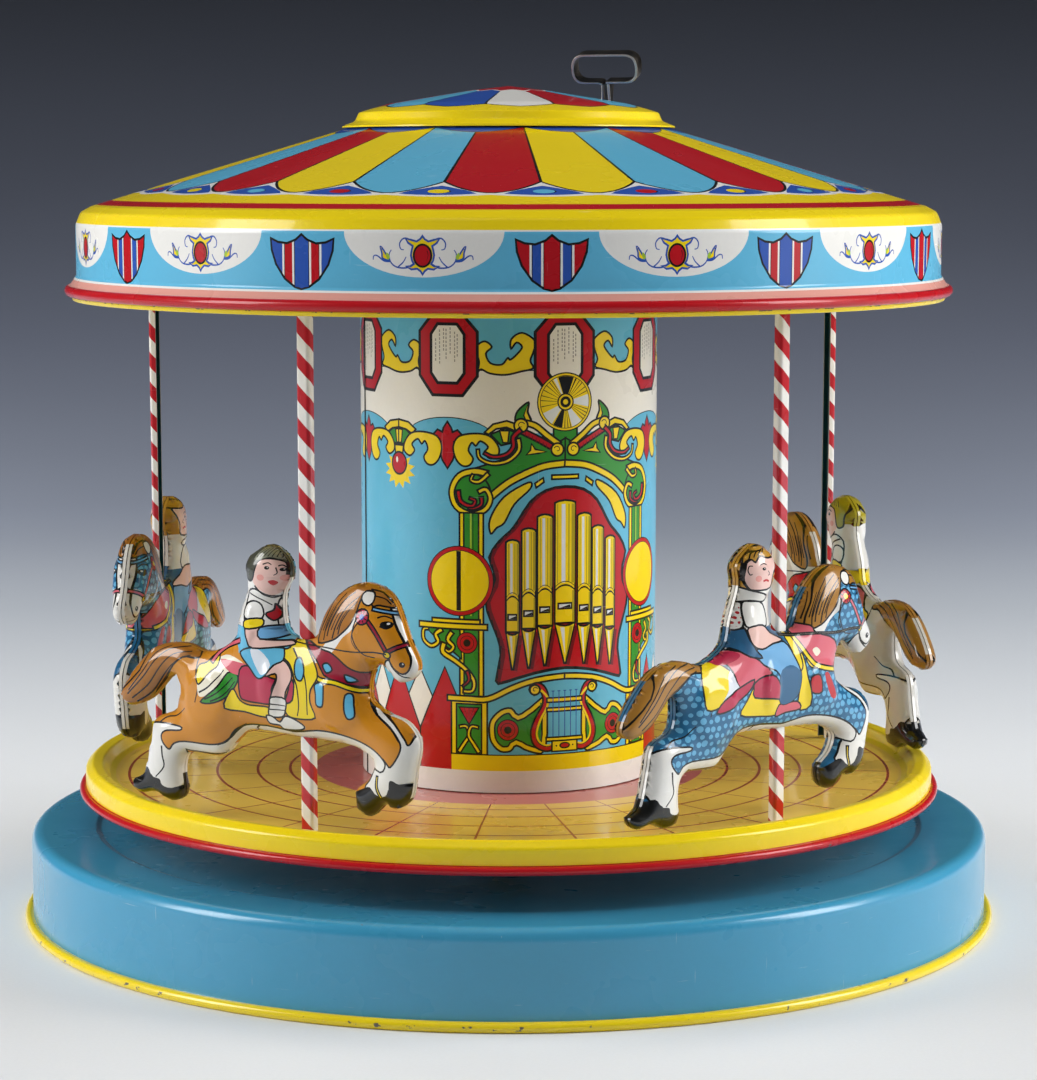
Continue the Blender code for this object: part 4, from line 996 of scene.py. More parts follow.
def drum_print(width):
    """Half the drum's print, which repeats on the other side; heights are above the table."""
    middle, bay = width / 2, width / 4
    s = plain(box(-1, 0, width + 1, 200), "sky")
    s += plain(box(-1, 151.0, width + 1, 169.4), "white")
    s += plain(box(-1, 169.3, width + 1, 169.6), "ink")
    for k in (0, 1, 3, 4):
        hill = np.array([(bay * k + 14.4 * math.cos(a), 149.0 + 6.4 * math.sin(a))
                         for a in np.linspace(0, math.pi, 20)])
        s += plain(hill + [0, 0.3], "ink") + plain(hill, "sky")
    s += plain(box(-1, 140.0, width + 1, 151.1), "sky")
    for k in range(4):
        garland = inked(spline(GARLAND), "yellow")
        s += moved(mirrored(garland) if k in (1, 3) else garland, bay * (k + 0.5))
    for k in range(5):
        s += octagon(bay * k)
    for k in (0, 1, 3, 4):
        s += moved(inked(closed_half(FLEUR), "red"), bay * k)
    for side in (-1, 1):
        s += moved(sunburst(), middle + side * 1.5 * bay)
    swirl = inked(spline(SWIRL), "yellow")
    beyond = mirrored(swirl, -bay)
    s += moved(both(swirl + beyond + mirrored(beyond, -1.5 * bay)), middle)
    for at, ink, wide, peak in ((45.0, "white", 9.6, 80.6), (62.1, "white", 9.6, 80.6),
                                (36.4, "red", 8.6, 81.4), (53.55, "red", 8.6, 81.4),
                                (70.69, "red", 8.6, 81.4)):
        for x in (middle - at, middle + at):
            s += inked([(x - wide, 50.0), (x + wide, 50.0), (x + wide, 62.3), (x, peak),
                        (x - wide, 62.3)], ink, 0.3)
    s += moved(organ(), middle)
    s += moved(wheel_disc(0.0, 160.1, 8.7), middle)
    return s + plain(box(-1, 43, width + 1, 50.6), "white")


def add_lap(sheet, low, high):
    """The dark upright lap where the drum's sheet is joined; its ends are in degrees."""
    ridge = ((-72.9, 0.31), (-72.8, 0.62), (-72.35, 0.62), (-72.25, 0.31))
    for (a, low_r), (b, high_r) in zip(ridge, ridge[1:]):
        ends = [(math.radians(a), COLUMN_R + low_r), (math.radians(b), COLUMN_R + high_r)]
        points = np.array([(r * math.sin(t), -r * math.cos(t), z)
                           for t, r in ends for z in (low + 0.2, high - 0.2)])
        normals = np.array([(math.sin(t), -math.cos(t), 0.0) for t, _ in ends for _ in (0, 1)])
        sheet.add(points, normals, np.array([[0, 2, 3], [0, 3, 1]]), "ink")


def make_column(material):
    low, high = TABLE_Z, CEILING_Z
    levels = np.linspace(low, high, 8)
    outer, inner = (np.array([(COLUMN_R + by, z) for z in levels]) for by in (0.3, -0.3))
    shapes = [(p - [0, low], ink, None if clip is None else clip - [0, low])
              for p, ink, clip in drum_print(math.pi * COLUMN_R)]
    sheet = Sheet()
    printed_sheet(sheet, outer, shapes, 180.0, COLUMN_R, ORGAN_AT - 90.0, [(0.0, 1.0, 0.12)],
                  step=4.0, rows=False)
    turned_sheet(sheet, inner, "tin", 90, inward=True)
    add_lap(sheet, low, high)
    turned_sheet(sheet, np.array([inner[0], outer[0]]), "tin", 90)
    turned_sheet(sheet, np.array([outer[-1], inner[-1]]), "tin", 90)
    place(sheet.build("drum_print", material), "carousel", ["column"])


# ---- horses and riders --------------------------------------------------------
# Lengths from the pole along the ride, and heights above the table.
HORSE_OUTLINE = (
    (-12.5, 124.2), (-8.0, 123.0), (-5.0, 119.8), (-4.7, 115.6), (-7.0, 110.7),
    (-6.6, 102.5), (-3.6, 99.2),
    (3.6, 99.4), (7.2, 106.8), (13.0, 113.2), (19.5, 115.8), (26.0, 114.3),
    (30.0, 109.8), (33.4, 101.0),
    (36.8, 94.0), (34.6, 90.2), (30.5, 89.3), (25.8, 93.4), (22.2, 91.8), (21.2, 84.0),
    (26.0, 80.2), (33.0, 77.9), (36.8, 72.5), (35.4, 64.0), (34.0, 57.0), (29.5, 53.5),
    (26.0, 54.6), (21.5, 50.8), (17.4, 52.2), (16.6, 57.6), (21.0, 61.4), (22.6, 66.4),
    (16.0, 70.0), (3.6, 71.0), (-3.6, 71.2), (-17.5, 71.8), (-22.8, 68.4), (-28.5, 63.2),
    (-39.5, 63.2), (-42.2, 58.6), (-41.9, 50.6), (-46.2, 48.4), (-51.8, 50.4),
    (-57.4, 49.8), (-59.8, 53.0), (-55.4, 56.0), (-53.0, 65.0), (-51.0, 72.0),
    (-43.6, 75.6),
    (-42.8, 84.0), (-46.0, 84.6), (-53.0, 77.6), (-60.0, 75.0), (-63.2, 78.4),
    (-57.6, 86.8), (-50.0, 93.0), (-41.0, 94.4), (-32.5, 92.6),
    (-23.6, 96.8), (-21.4, 104.0), (-18.2, 113.2), (-18.6, 119.4),
)

# ANIMAL, BOY and GIRL are the prints, from the lowest layer up. Each entry has an ink or
# part of the palette, then "shape" with a key line, "flat" without one or the width of a
# line, then its points. The points were picked by eye on the photo, and a helper script
# turned them into millimetres and wrote the tables.
ANIMAL = (
    ("white", "shape", [(-52.1, 70.2), (-48.3, 71.3), (-40.4, 71), (-40.4, 69.9), (-45.2, 69.4),
     (-47.1, 68.2), (-47, 66.5), (-45.8, 64.9), (-44.4, 64), (-42.8, 65.8), (-39.2, 66.7),
     (-30.6, 66.6), (-26.6, 67.3), (-23.8, 69.2), (-21.5, 71.4), (-18.3, 73.3), (-12.9, 73.5),
     (-14.6, 70.6), (-19.9, 70.1), (-21.9, 68), (-24.1, 65.5), (-26.7, 64.1), (-31, 63.8),
     (-37.9, 63.9), (-39.7, 63.4), (-39.5, 54.1), (-44.3, 52.2), (-49.1, 52.8), (-50.8, 55.6),
     (-53.7, 57.2), (-54.6, 59.3), (-55.6, 60.8), (-54.6, 63.8), (-55.4, 66)]),
    ("white", "shape", [(22, 82.7), (24.7, 79.7), (29.2, 76.8), (31.9, 74), (32.9, 71.7),
     (32, 68.9), (29.8, 65.9), (28.6, 66.8), (26.9, 68), (24, 65.1), (22.2, 61.4), (20.8, 59.2),
     (24.5, 57.6), (27.5, 56.4), (30.4, 60.7), (37.5, 61.9), (39.5, 69.7), (39.2, 74.5), (36, 79.1),
     (31.6, 81.1), (26, 82), (22.8, 83.5)]),
    ("white", "shape", [(-13.8, 73.6), (-5.3, 73.1), (-1.6, 72.8), (5.8, 73.9), (11.6, 73.7),
     (18.1, 72.5), (23.1, 70.8), (26.5, 68.7), (28.2, 66.4), (26.3, 64.1), (20.2, 66.5),
     (13.7, 69.3), (6.3, 70.4), (-3.7, 69.8), (-11.2, 69.9), (-15.5, 70.2)]),
    ("coat", "shape", [(25, 81.2), (30, 80.6), (34.4, 78.6), (36, 76.3), (35.6, 73.1), (34.7, 72.3),
     (33.8, 73.9), (30.4, 77.6)]),
    ("hoof", "flat", [(-60.6, 55.7), (-55.9, 56.9), (-52.7, 57.9), (-50.8, 55.6), (-48.1, 55),
     (-47.3, 53.3), (-44.3, 52.6), (-39, 54.2), (-38.7, 50.6), (-44.9, 47.4), (-50.6, 48.3),
     (-55, 48.9), (-59.4, 50), (-60.7, 53.9)]),
    ("hoof", "flat", [(16.6, 57.1), (19.9, 58.7), (22.7, 59.5), (25.6, 57), (28.7, 58.4),
     (29.3, 61.7), (30.4, 62.1), (32.5, 61.2), (37.5, 61.3), (37.9, 58.4), (33.9, 53.5),
     (29.2, 54.3), (25, 52.5), (22.5, 49.4), (18.4, 50.4), (15.6, 54.7)]),
    ("ink", 0.6, [(-47.1, 64.8), (-46.9, 61.9), (-46.5, 58.7), (-49.4, 55.5)]),
    ("yellow", 0.7, [(25.2, 62.9), (25.1, 59.8), (26.4, 56.7)]),
    ("ink", 0.55, [(22.1, 82.7), (25.1, 79.4), (29.7, 76.2), (32.3, 73)]),
    ("ink", 0.55, [(-34.2, 91.8), (-34.2, 87.8), (-32.8, 83.8), (-34, 78.7)]),
    ("ink", 0.5, [(-18, 73.6), (-22.2, 71.4), (-25.1, 67.9), (-28.1, 66.6)]),
    ("ink", 0.5, [(-48.3, 71.3), (-45.8, 73.1), (-41.8, 74), (-38.4, 76.5)]),
    ("mane", "shape", [(-64, 77.5), (-54.8, 85.9), (-51.3, 93.1), (-44.2, 95), (-36.9, 94.5),
     (-33.9, 91.8), (-35.5, 90.9), (-39.6, 90.9), (-44.5, 86.7), (-49.8, 80.7), (-54.3, 75.4),
     (-62.3, 74.7)]),
    ("ink", 0.5, [(-59.4, 78.6), (-53.7, 83.9), (-49.2, 89.3), (-44.4, 92.8), (-38.2, 93.9)]),
    ("ink", 0.5, [(-57.9, 77.5), (-52.3, 81.7), (-47.5, 87.6), (-42.7, 91.6), (-37, 92.6)]),
    ("ink", 0.42, [(-56.7, 76.5), (-51.4, 79.8), (-46.3, 85.8), (-40.8, 90.3), (-37, 91.6)]),
    ("ink", 0.42, [(-58.9, 79.8), (-53.7, 85.7), (-49.2, 91.4), (-44.1, 93.8)]),
    ("white", "shape", [(28.9, 111.3), (30.6, 111), (33, 107.1), (35.3, 103.1), (38.5, 99.6),
     (40.1, 96), (39.6, 91.8), (36.1, 89.1), (31.7, 88.7), (27.7, 90.8), (27.4, 93.9), (29.1, 95.5),
     (30.6, 93.2), (33.2, 91.8), (35.1, 93.1), (35.4, 95.8), (33.8, 99.1), (31.4, 103.8),
     (29.8, 107.8)]),
    ("white", "flat", [(5.6, 93.5), (8.3, 97.5), (10.8, 100.3), (15.1, 102.8), (18.8, 106.5),
     (19.8, 107.2), (18.8, 103.6), (15.2, 100.8), (12.3, 97.1), (8.6, 93.6)]),
    ("mane", "shape", [(6.6, 98.6), (6.9, 102), (9.1, 106.4), (11.8, 111.9), (17, 115.3),
     (22.2, 116.3), (27.8, 115.3), (30.6, 111.7), (31.6, 109.4), (26.4, 110.3), (24.4, 110),
     (23.3, 112.3), (21.3, 112.7), (20.4, 110.8), (19.5, 108), (17.6, 104.5), (14.7, 101.8),
     (11.8, 99.8)]),
    ("ink", 0.5, [(9.7, 100.7), (10.9, 104.9), (14.4, 110.2), (18.6, 113.5)]),
    ("ink", 0.5, [(11.6, 100.2), (12.9, 104.1), (16, 109), (20.1, 112.4)]),
    ("ink", 0.42, [(13.6, 101.5), (14.6, 104.8), (17.1, 108.4), (19.6, 111)]),
    ("ink", 0.42, [(23, 114.4), (26.5, 113.6), (29.4, 110.8)]),
    ("ink", 0.42, [(24.2, 112.8), (27.3, 112.1), (29.1, 110.5)]),
    ("ink", 0.42, [(8.5, 99.5), (9.3, 103.7), (12.2, 109.1), (15.5, 113)]),
    ("white", "shape", [(21.5, 110.7), (20.8, 112.4), (21.9, 113.9), (24.3, 113.6), (24.6, 111.5),
     (23.3, 110.1)]),
    ("ink", 0.5, [(19.8, 106.4), (18.6, 102.2), (19.7, 98.8), (21.9, 96.5), (25.1, 95.8)]),
    ("ink", 0.42, [(21.2, 106), (19.2, 103.6), (18.3, 100.4), (19.8, 97.8)]),
    ("ink", 0.5, [(26.3, 107), (28.1, 107.5), (30, 106.7)]),
    ("ink", 0.42, [(27, 104.7), (28.9, 104.1), (30.3, 104.8)]),
    ("strap", 1.1, [(23.3, 106.2), (25.8, 103), (28.5, 98.5), (29.4, 97)]),
    ("strap", 1.1, [(29, 97.6), (31.8, 99.1), (36.1, 100.6)]),
    ("blue2", 0.9, [(24.4, 109.3), (27.9, 108.7), (32.2, 107.9)]),
    ("ink", 0.55, [(29.3, 96.9), (29.9, 93.8), (32.4, 91.4), (34.8, 90.7)]),
    ("collar", "shape", [(1.6, 98.6), (6.5, 93.9), (8.3, 91.3), (10.4, 89.3), (19.5, 87.2),
     (24.4, 87.4), (24.4, 90.9), (19.7, 91.3), (16.5, 92.6), (13.5, 95), (11, 96.4), (8.4, 96.9)]),
    ("yellow", 1.3, [(5.6, 91.1), (7.6, 88.6), (13, 88.1), (19.5, 86.2), (24, 86.4)]),
    ("sky", "shape", [(8.7, 92.7), (10.5, 93.3), (11.8, 91.6), (10, 90.6)]),
    ("sky", "shape", [(15.5, 90.4), (17.7, 89.9), (19, 88.8), (16.4, 88.5)]),
)
BOY = (
    ("sky", "shape", [(6.2, 87.1), (9, 87.7), (9.3, 84.5), (8.8, 81.2), (6.9, 81.5), (6.7, 84.3)]),
    ("sky", "shape", [(15.9, 84.8), (17.9, 85.2), (18.4, 82.3), (18.7, 79.1), (16.7, 78.3),
     (15.6, 80.8)]),
    ("cream", "flat", [(-32.8, 81.3), (-32.9, 85.2), (-29.3, 88.2), (-27.1, 89.7), (-26.7, 91.8),
     (-22.9, 92.9), (-17, 90.7), (-18.5, 88.1), (-20, 87.9), (-23.2, 88), (-26, 84.2),
     (-28.9, 81.6), (-31.6, 80.5)]),
    ("yellow", "shape", [(-33.2, 84.4), (-33.9, 87.1), (-33.5, 89.3), (-31, 90.2), (-29, 92.3),
     (-26.8, 92.6), (-26.9, 89.7), (-29.1, 87.7), (-32, 84.4)]),
    ("green", "shape", [(-31.9, 79.1), (-28.9, 81.6), (-26, 84), (-23.2, 87.9), (-20, 87.9),
     (-19.4, 86.2), (-21.3, 83.1), (-24.3, 80.4), (-28.6, 78.9)]),
    ("ink", 0.5, [(-30.5, 79.9), (-25.9, 82.3), (-21.3, 86.8)]),
    ("ink", 0.5, [(-28.5, 79.5), (-24.3, 81.5), (-20.4, 85.8)]),
    ("ink", 0.55, [(-32.5, 81.7), (-29.4, 83.4), (-26.3, 86.4), (-24.6, 88.6)]),
    ("rose", "flat", [(-26.1, 91.5), (-18.9, 91.2), (-15.3, 90.5), (-11, 87.6), (-16.5, 87.6),
     (-20, 87.7), (-23.2, 88.7)]),
    ("rose2", 1.4, [(-29.3, 90.3), (-27.4, 93.2), (-24.2, 95.5), (-19.1, 97.4)]),
    ("yellow", "shape", [(-22.3, 82.6), (-20.7, 83.4), (-18.9, 80.6), (-15.6, 79.4), (-8.6, 79.4),
     (-9.2, 76.6), (-12.8, 76.4), (-17.6, 77.3), (-23.9, 77.9)]),
    ("magenta", "shape", [(-18.9, 89.1), (-15.3, 90.5), (-8, 88), (-6.4, 87.4), (-7.6, 84.5),
     (-7.5, 80.8), (-12.1, 80.3), (-16.8, 80.6), (-18.8, 82)]),
    ("magenta", "shape", [(-1.7, 88.4), (-0.1, 85.1), (-0, 80.7), (-3.8, 80.3), (-2.4, 84.9)]),
    ("yellow", "shape", [(-5.1, 95.7), (-3, 96.5), (-1.2, 99.4), (1, 98.6), (3.9, 95.7),
     (6.2, 92.5), (7.1, 89.1), (4.9, 85.5), (4.6, 81.9), (5.9, 77.6), (0.7, 76.8), (-3.2, 77.5),
     (-3.8, 80.5), (-1.2, 82.1), (-0.6, 87.8), (-2.1, 91.8), (-4.4, 93.7)]),
    ("ink", 0.55, [(-1.9, 96.5), (2.1, 90.8), (3.5, 85.4), (3.4, 78.2)]),
    ("ink", 0.55, [(-2.5, 91.8), (0.2, 86.5), (0.8, 80.9), (0, 77.6)]),
    ("sky", "shape", [(-0.3, 93.5), (1.3, 93.9), (2.6, 90.8), (1.9, 87.9), (0.2, 88.2),
     (-0.6, 90.6)]),
    ("shorts", "flat", [(-19.5, 93.8), (-18.8, 97.5), (-17.5, 103.6), (-15.7, 102), (-15.6, 97.8),
     (-16.5, 95.6), (-14.4, 94.9)]),
    ("skin", "shape", [(-9.5, 88.2), (-7.6, 91.1), (-4.5, 93), (-1.8, 90.5), (-1.5, 87.7),
     (-3.4, 84.1), (-3.7, 81.1), (-4.7, 79.5), (-7.8, 79.3), (-8.4, 80.9), (-7.2, 84.6),
     (-6.2, 87.4), (-6.7, 89.1)]),
    ("white", "shape", [(-7.7, 82.5), (-3.5, 82.1), (-3.8, 78.9), (-5.1, 76.9), (-9.4, 76.9),
     (-8.5, 80.2)]),
    ("ink", 0.42, [(-8.3, 80.5), (-3.7, 80.2)]),
    ("ink", 0.42, [(-8.8, 78.9), (-3.8, 78.9)]),
    ("white", "shape", [(-10.5, 76.8), (-8.5, 76.8), (-6.3, 75.3), (-4.2, 77.2), (-1, 76.5),
     (1.8, 74.7), (0.1, 73.5), (-5.3, 73.2), (-6.6, 74.3), (-9.9, 74.6)]),
    ("shorts", "shape", [(-18.4, 94.6), (-14.6, 95.8), (-6, 96.3), (-4.5, 95.7), (-4.5, 92.9),
     (-7.5, 91.3), (-10.1, 88.1), (-12.8, 87.4), (-15.3, 90), (-18.6, 93.2)]),
    ("pale", "flat", [(-15.4, 95), (-12, 95.1), (-8.4, 91.4), (-10.6, 88.5), (-12.7, 89.6)]),
    ("white", "shape", [(-17.5, 102.9), (-17.5, 107.3), (-16.1, 111.4), (-13.6, 112.3),
     (-10.5, 110.9), (-7, 110.4), (-4.7, 111.4), (-4.7, 105.8), (-4.1, 102), (-6.5, 100.8),
     (-12.3, 100.7), (-15.3, 99.3)]),
    ("skin", "shape", [(-16.7, 105.4), (-12.5, 106.4), (-11.9, 102.2), (-12.2, 98.6), (-5.7, 98.3),
     (-2.8, 98.4), (-1.8, 97.4), (-6, 96.5), (-14.6, 95.6), (-16.3, 97.6), (-17.2, 100.5)]),
    ("white", "shape", [(-17.3, 103.8), (-17.4, 107.4), (-14.7, 108.8), (-12, 107.8),
     (-11.7, 104.2)]),
    ("yellow", "shape", [(-17.3, 103.3), (-11.8, 104), (-11.9, 101.8), (-17.2, 100.9)]),
    ("blue2", "shape", [(-12.4, 101.5), (-5.6, 102.2), (-4.7, 99.6), (-12.2, 98.3)]),
    ("ink", 0.5, [(-15.9, 111), (-12.3, 109.6), (-9, 107.9)]),
    ("ink", 0.5, [(-5.2, 111.3), (-7.2, 109.8), (-7.8, 107.9)]),
    ("red", "shape", [(-10.6, 105.6), (-8.7, 106.5), (-8.3, 108.2), (-7.6, 107.4), (-6.9, 105.7),
     (-7.4, 104.2), (-8.7, 103.6), (-10.3, 104.6)]),
    ("ink", 0.42, [(-7.7, 103.7), (-7.4, 102.2)]),
    ("skin", "flat", [(-15, 116.1), (-14.3, 119.6), (-11.4, 121.2), (-6.4, 121.2), (-4.5, 119.8),
     (-4.6, 115.6), (-5.5, 113.4), (-6.8, 111.6), (-8.8, 110.7), (-11.2, 111.6), (-13.6, 113.2)]),
    ("hair", "shape", [(-16.8, 115), (-17.2, 117.4), (-17.2, 121.8), (-11.3, 124.8), (-5.5, 123.9),
     (-2.4, 119.9), (-2.3, 115.7), (-4.1, 114.9), (-4.9, 115.6), (-4.8, 118.5), (-5.6, 120.2),
     (-9, 121), (-12.4, 120.3), (-13.8, 117.6), (-14.3, 115.6), (-15.2, 114.4)]),
    ("cap", "flat", [(-14.2, 120.4), (-13.2, 122.5), (-10.6, 124), (-7.2, 123.4), (-4.9, 121.6),
     (-6.2, 120.7), (-9.1, 121.4), (-12.1, 120.6)]),
    ("ink", 0.5, [(-13.8, 113.2), (-11.2, 111), (-8.4, 110), (-6.1, 111.3)]),
    ("ink", 0.42, [(-11.1, 119.3), (-9.5, 119.8), (-8.4, 119.3)]),
    ("ink", 0.42, [(-6.7, 119), (-5.8, 119.2), (-5, 118.6)]),
    ("ink", 0.35, [(-7.2, 118.6), (-6.8, 117.1), (-7.8, 116.4)]),
    ("red", "flat", [(-9.5, 114.6), (-7.9, 115.1), (-6.8, 114.4), (-8.1, 113.5)]),
    ("ink", 0.5, [(28.9, 97.1), (24.7, 97.4), (17.5, 97), (9.2, 97.6), (1.3, 97.7), (-3.6, 98.4)]),
)
GIRL = (
    ("yellow", "shape", [(-34.9, 91.6), (-30.4, 93.5), (-26.4, 91.5), (-24.3, 88.6), (-28.2, 83.6),
     (-30.5, 81.1), (-35.3, 80.8), (-36, 86.4)]),
    ("rose", "shape", [(-30.2, 94.9), (-23.7, 96), (-15.9, 93.3), (-9.9, 88.4), (-17.2, 85.6),
     (-22, 85.5), (-24.2, 90.3), (-27.1, 93.4)]),
    ("magenta", "flat", [(-30.7, 93.7), (-29.2, 94.9), (-23.4, 95.6), (-20.9, 94.5), (-22.3, 93.2),
     (-26.2, 92.2), (-29.2, 92.4)]),
    ("pale", "flat", [(-25, 90.6), (-22, 85.5), (-17.7, 87.1), (-24, 82.4), (-30.5, 80.9),
     (-27, 85.5)]),
    ("magenta", "shape", [(-31.8, 79.5), (-28.7, 82.8), (-22, 85.5), (-16.4, 87.2), (-18.1, 84.3),
     (-22, 82), (-26.8, 79.8)]),
    ("magenta", "shape", [(-16.2, 86.2), (-9.9, 87.9), (-6.3, 84.6), (-5.8, 80.2), (-16, 82)]),
    ("yellow", "shape", [(-21.2, 77.6), (-19, 81.6), (-16.5, 85), (-16, 82), (-6.2, 80.5),
     (-4.8, 77.7), (-6.4, 75.8), (-12.6, 76.2)]),
    ("rose", "shape", [(-0.1, 101), (8, 99.9), (9.8, 97.7), (18, 94.7), (22.6, 86.5), (9.6, 88.1),
     (4.9, 92.9), (2.6, 97.2)]),
    ("yellow", 1.4, [(1.1, 98.3), (3.4, 94.7), (6.7, 90.6), (10.5, 88), (18.6, 86.2)]),
    ("cream", "flat", [(7.9, 92.9), (9.6, 93.6), (11.2, 92.2), (9.5, 91)]),
    ("red", "shape", [(6.9, 85.2), (10.6, 85.5), (11.7, 80.6), (7.2, 81)]),
    ("red", "flat", [(12.8, 85.3), (15.1, 85.4), (18.9, 78.7), (16.1, 78.5)]),
    ("yellow", "shape", [(2, 93.1), (4, 91.9), (5.6, 86.1), (7.7, 77.1), (2.6, 76.6), (2.5, 82.8),
     (3, 86.3)]),
    ("yellow", "shape", [(-1.7, 98.5), (0.5, 98.3), (2.3, 94.2), (3.7, 89.1), (2.4, 87.8),
     (0.3, 92.3)]),
    ("stocking", "shape", [(-5.7, 78.7), (-2.7, 78.9), (2, 78.9), (3.7, 76.5), (-2.4, 76.1),
     (-6.3, 75.4)]),
    ("trousers", "shape", [(-15.7, 95.1), (-8.2, 96.3), (-2.6, 96.3), (0.3, 92.3), (2.6, 87.8),
     (3, 84.9), (1.7, 80.6), (-2.6, 78.7), (-5.7, 80), (-6.5, 87.5), (-12.6, 90.9)]),
    ("skirt", "flat", [(-6.1, 87.4), (-1.7, 89.7), (2.4, 87.8), (3, 84.9), (1.7, 80.6),
     (-2.6, 78.7), (-5.7, 80)]),
    ("skirt", "shape", [(-24.3, 102), (-20, 101.6), (-19, 101.6), (-17.8, 98.4), (-15.4, 95.4),
     (-13, 92.9), (-17.7, 93.7), (-23, 96.4), (-27.7, 95.6)]),
    ("blouse", "shape", [(-23.8, 102.1), (-23.1, 109.3), (-18.9, 108.7), (-19, 104), (-20, 101.6)]),
    ("white", "shape", [(-18.7, 108.6), (-16.5, 109), (-12, 107.9), (-10.3, 101.8), (-17.6, 101.7),
     (-19.1, 103.9)]),
    ("skin", "shape", [(-17.9, 101.8), (-12.2, 102), (-8.6, 99.5), (-3.4, 97.3), (-4, 96.5),
     (-8.2, 96.3), (-12.8, 95.3), (-16.6, 96.8), (-17.9, 99.5)]),
    ("white", "shape", [(-22.6, 109.3), (-20, 113.2), (-16.7, 112.1), (-10.9, 110.3), (-12, 108.6),
     (-16.5, 109.2), (-20.4, 108.9)]),
    ("skin", "shape", [(-16.4, 120.5), (-13.1, 121.7), (-6.9, 121.4), (-6.9, 118.3), (-8.3, 115.7),
     (-9.3, 112.3), (-15.5, 112), (-17.2, 112.9), (-18.1, 115.7), (-17.7, 119.2)]),
    ("blond", "shape", [(-21.5, 114.4), (-22.1, 119.4), (-21.2, 124.2), (-16.7, 126.2),
     (-9.6, 125.3), (-4.9, 121.7), (-10.3, 120.7), (-13.2, 121.4), (-15, 119.8), (-16.1, 120.6),
     (-17.9, 119.2), (-18.5, 114.8), (-19.5, 113.2)]),
    ("ink", 0.5, [(-19.5, 116.3), (-19.1, 121.2), (-15.6, 123.7), (-11.7, 124)]),
    ("ink", 0.5, [(-18.7, 115.6), (-18, 120.1), (-15.8, 122.4), (-11.9, 122.9)]),
    ("ink", 0.42, [(-16.6, 123.8), (-11.9, 124.3), (-10.3, 122.8)]),
    ("cream", 0.5, [(28.9, 97.1), (24.7, 97.4), (17.5, 97), (9.2, 97.6), (1.3, 97.7),
     (-3.6, 98.4)]),
)

EYES = ((28.8, 105.2, 1.7, 1.0), (33.2, 94.4, 0.9, 0.8))
BOY_EYES = ((-9.8, 118.4, 0.8, 0.5), (-5.6, 118.0, 0.75, 0.5))
TAN = dict(coat="tan_coat", mane="tan_mane", strap="crimson", collar="crimson")
BLUE = dict(coat="blue_coat", mane="brown_mane", strap="rose", collar="rose", dapple=True)
WHITE = dict(coat="white_coat", mane="brown_mane", strap="crimson", collar="red",
             hair="olive", cap="olive", shorts="yellow")
PALETTES = (TAN, BLUE, WHITE, TAN, {**BLUE, "mane": "tan_mane"})
# What the names in the tables stand for, where a palette doesn't say otherwise.
COMMON = dict(hoof="ink", shorts="sky", trousers="jeans", stocking="rose", blouse="white",
              blue2="jeans", rose2="rose", hair="hair", skirt="skirt")
GIRLS = (1, 4)               # these horses carry the girl, the others the boy
GROOVE_HALF = 2.55           # the pressing steps out round the pole this far each way,
GROOVE_TOP = 104.0           # and up to this height
FRONT, FRONT_AT_POLE = 1.10, 1.60    # from the middle plane to the face at the rim
BACK, BACK_AT_POLE = 0.15, 1.55      # and to the edge that meets the other half
HOOF_TOP = 57.5
# Each bulge of the pressing: how far it rises, how softly, its middle and its radii.
BULGES = ((0.8, 2.5, (-12.4, 116.6), (7.6, 8.2)), (0.8, 3.0, (-9.0, 84.5), (4.5, 9.0)),
          (0.9, 4.0, (-31.0, 79.5), (9.5, 11.0)), (0.6, 3.0, (13.0, 82.0), (8.5, 8.5)),
          (0.6, 2.5, (24.5, 101.5), (8.0, 8.0)), (0.6, 2.0, (-17.0, 101.0), (3.4, 8.0)))


def layered(table, palette):
    """The shapes of a table, in the inks of a palette."""
    names = {**COMMON, **palette}
    out = []
    for ink, how, points in table:
        ink = names.get(ink, ink)
        if how == "shape":
            out += inked(spline(points, True, 3), ink, 0.28)
        elif how == "flat":
            out += plain(spline(points, True, 3), ink)
        else:
            out += plain(band(points, how, how * 0.6), ink)
            if ink != "ink":
                out[-1:] = inked(band(points, how), ink, 0.26)
    return out


def eye(u, z, wide, high):
    return (plain(oval(u, z, wide, high, 14), "ink")
            + plain(oval(u + wide * 0.3, z + high * 0.3, wide * 0.25, high * 0.3, 8), "white"))


def zones(girl, names):
    """Ground colours under the rider, so that no horse coat shows at the rider's edges."""
    hair, top, low = (("blond", "white", names["skirt"]) if girl else
                      (names["hair"], "white", names["shorts"]))
    return (plain([(-26, 98.5), (-20.5, 96.5), (-19.0, 93.6), (-12.0, 94.5), (-3.0, 96.5),
                   (-1.5, 101.5), (-26, 101.5)], low)
            + plain(box(-26, 101.4, -1.5, 116.6), top)
            + plain(box(-26, 112.5 if girl else 115.8, -1.5, 127), hair))


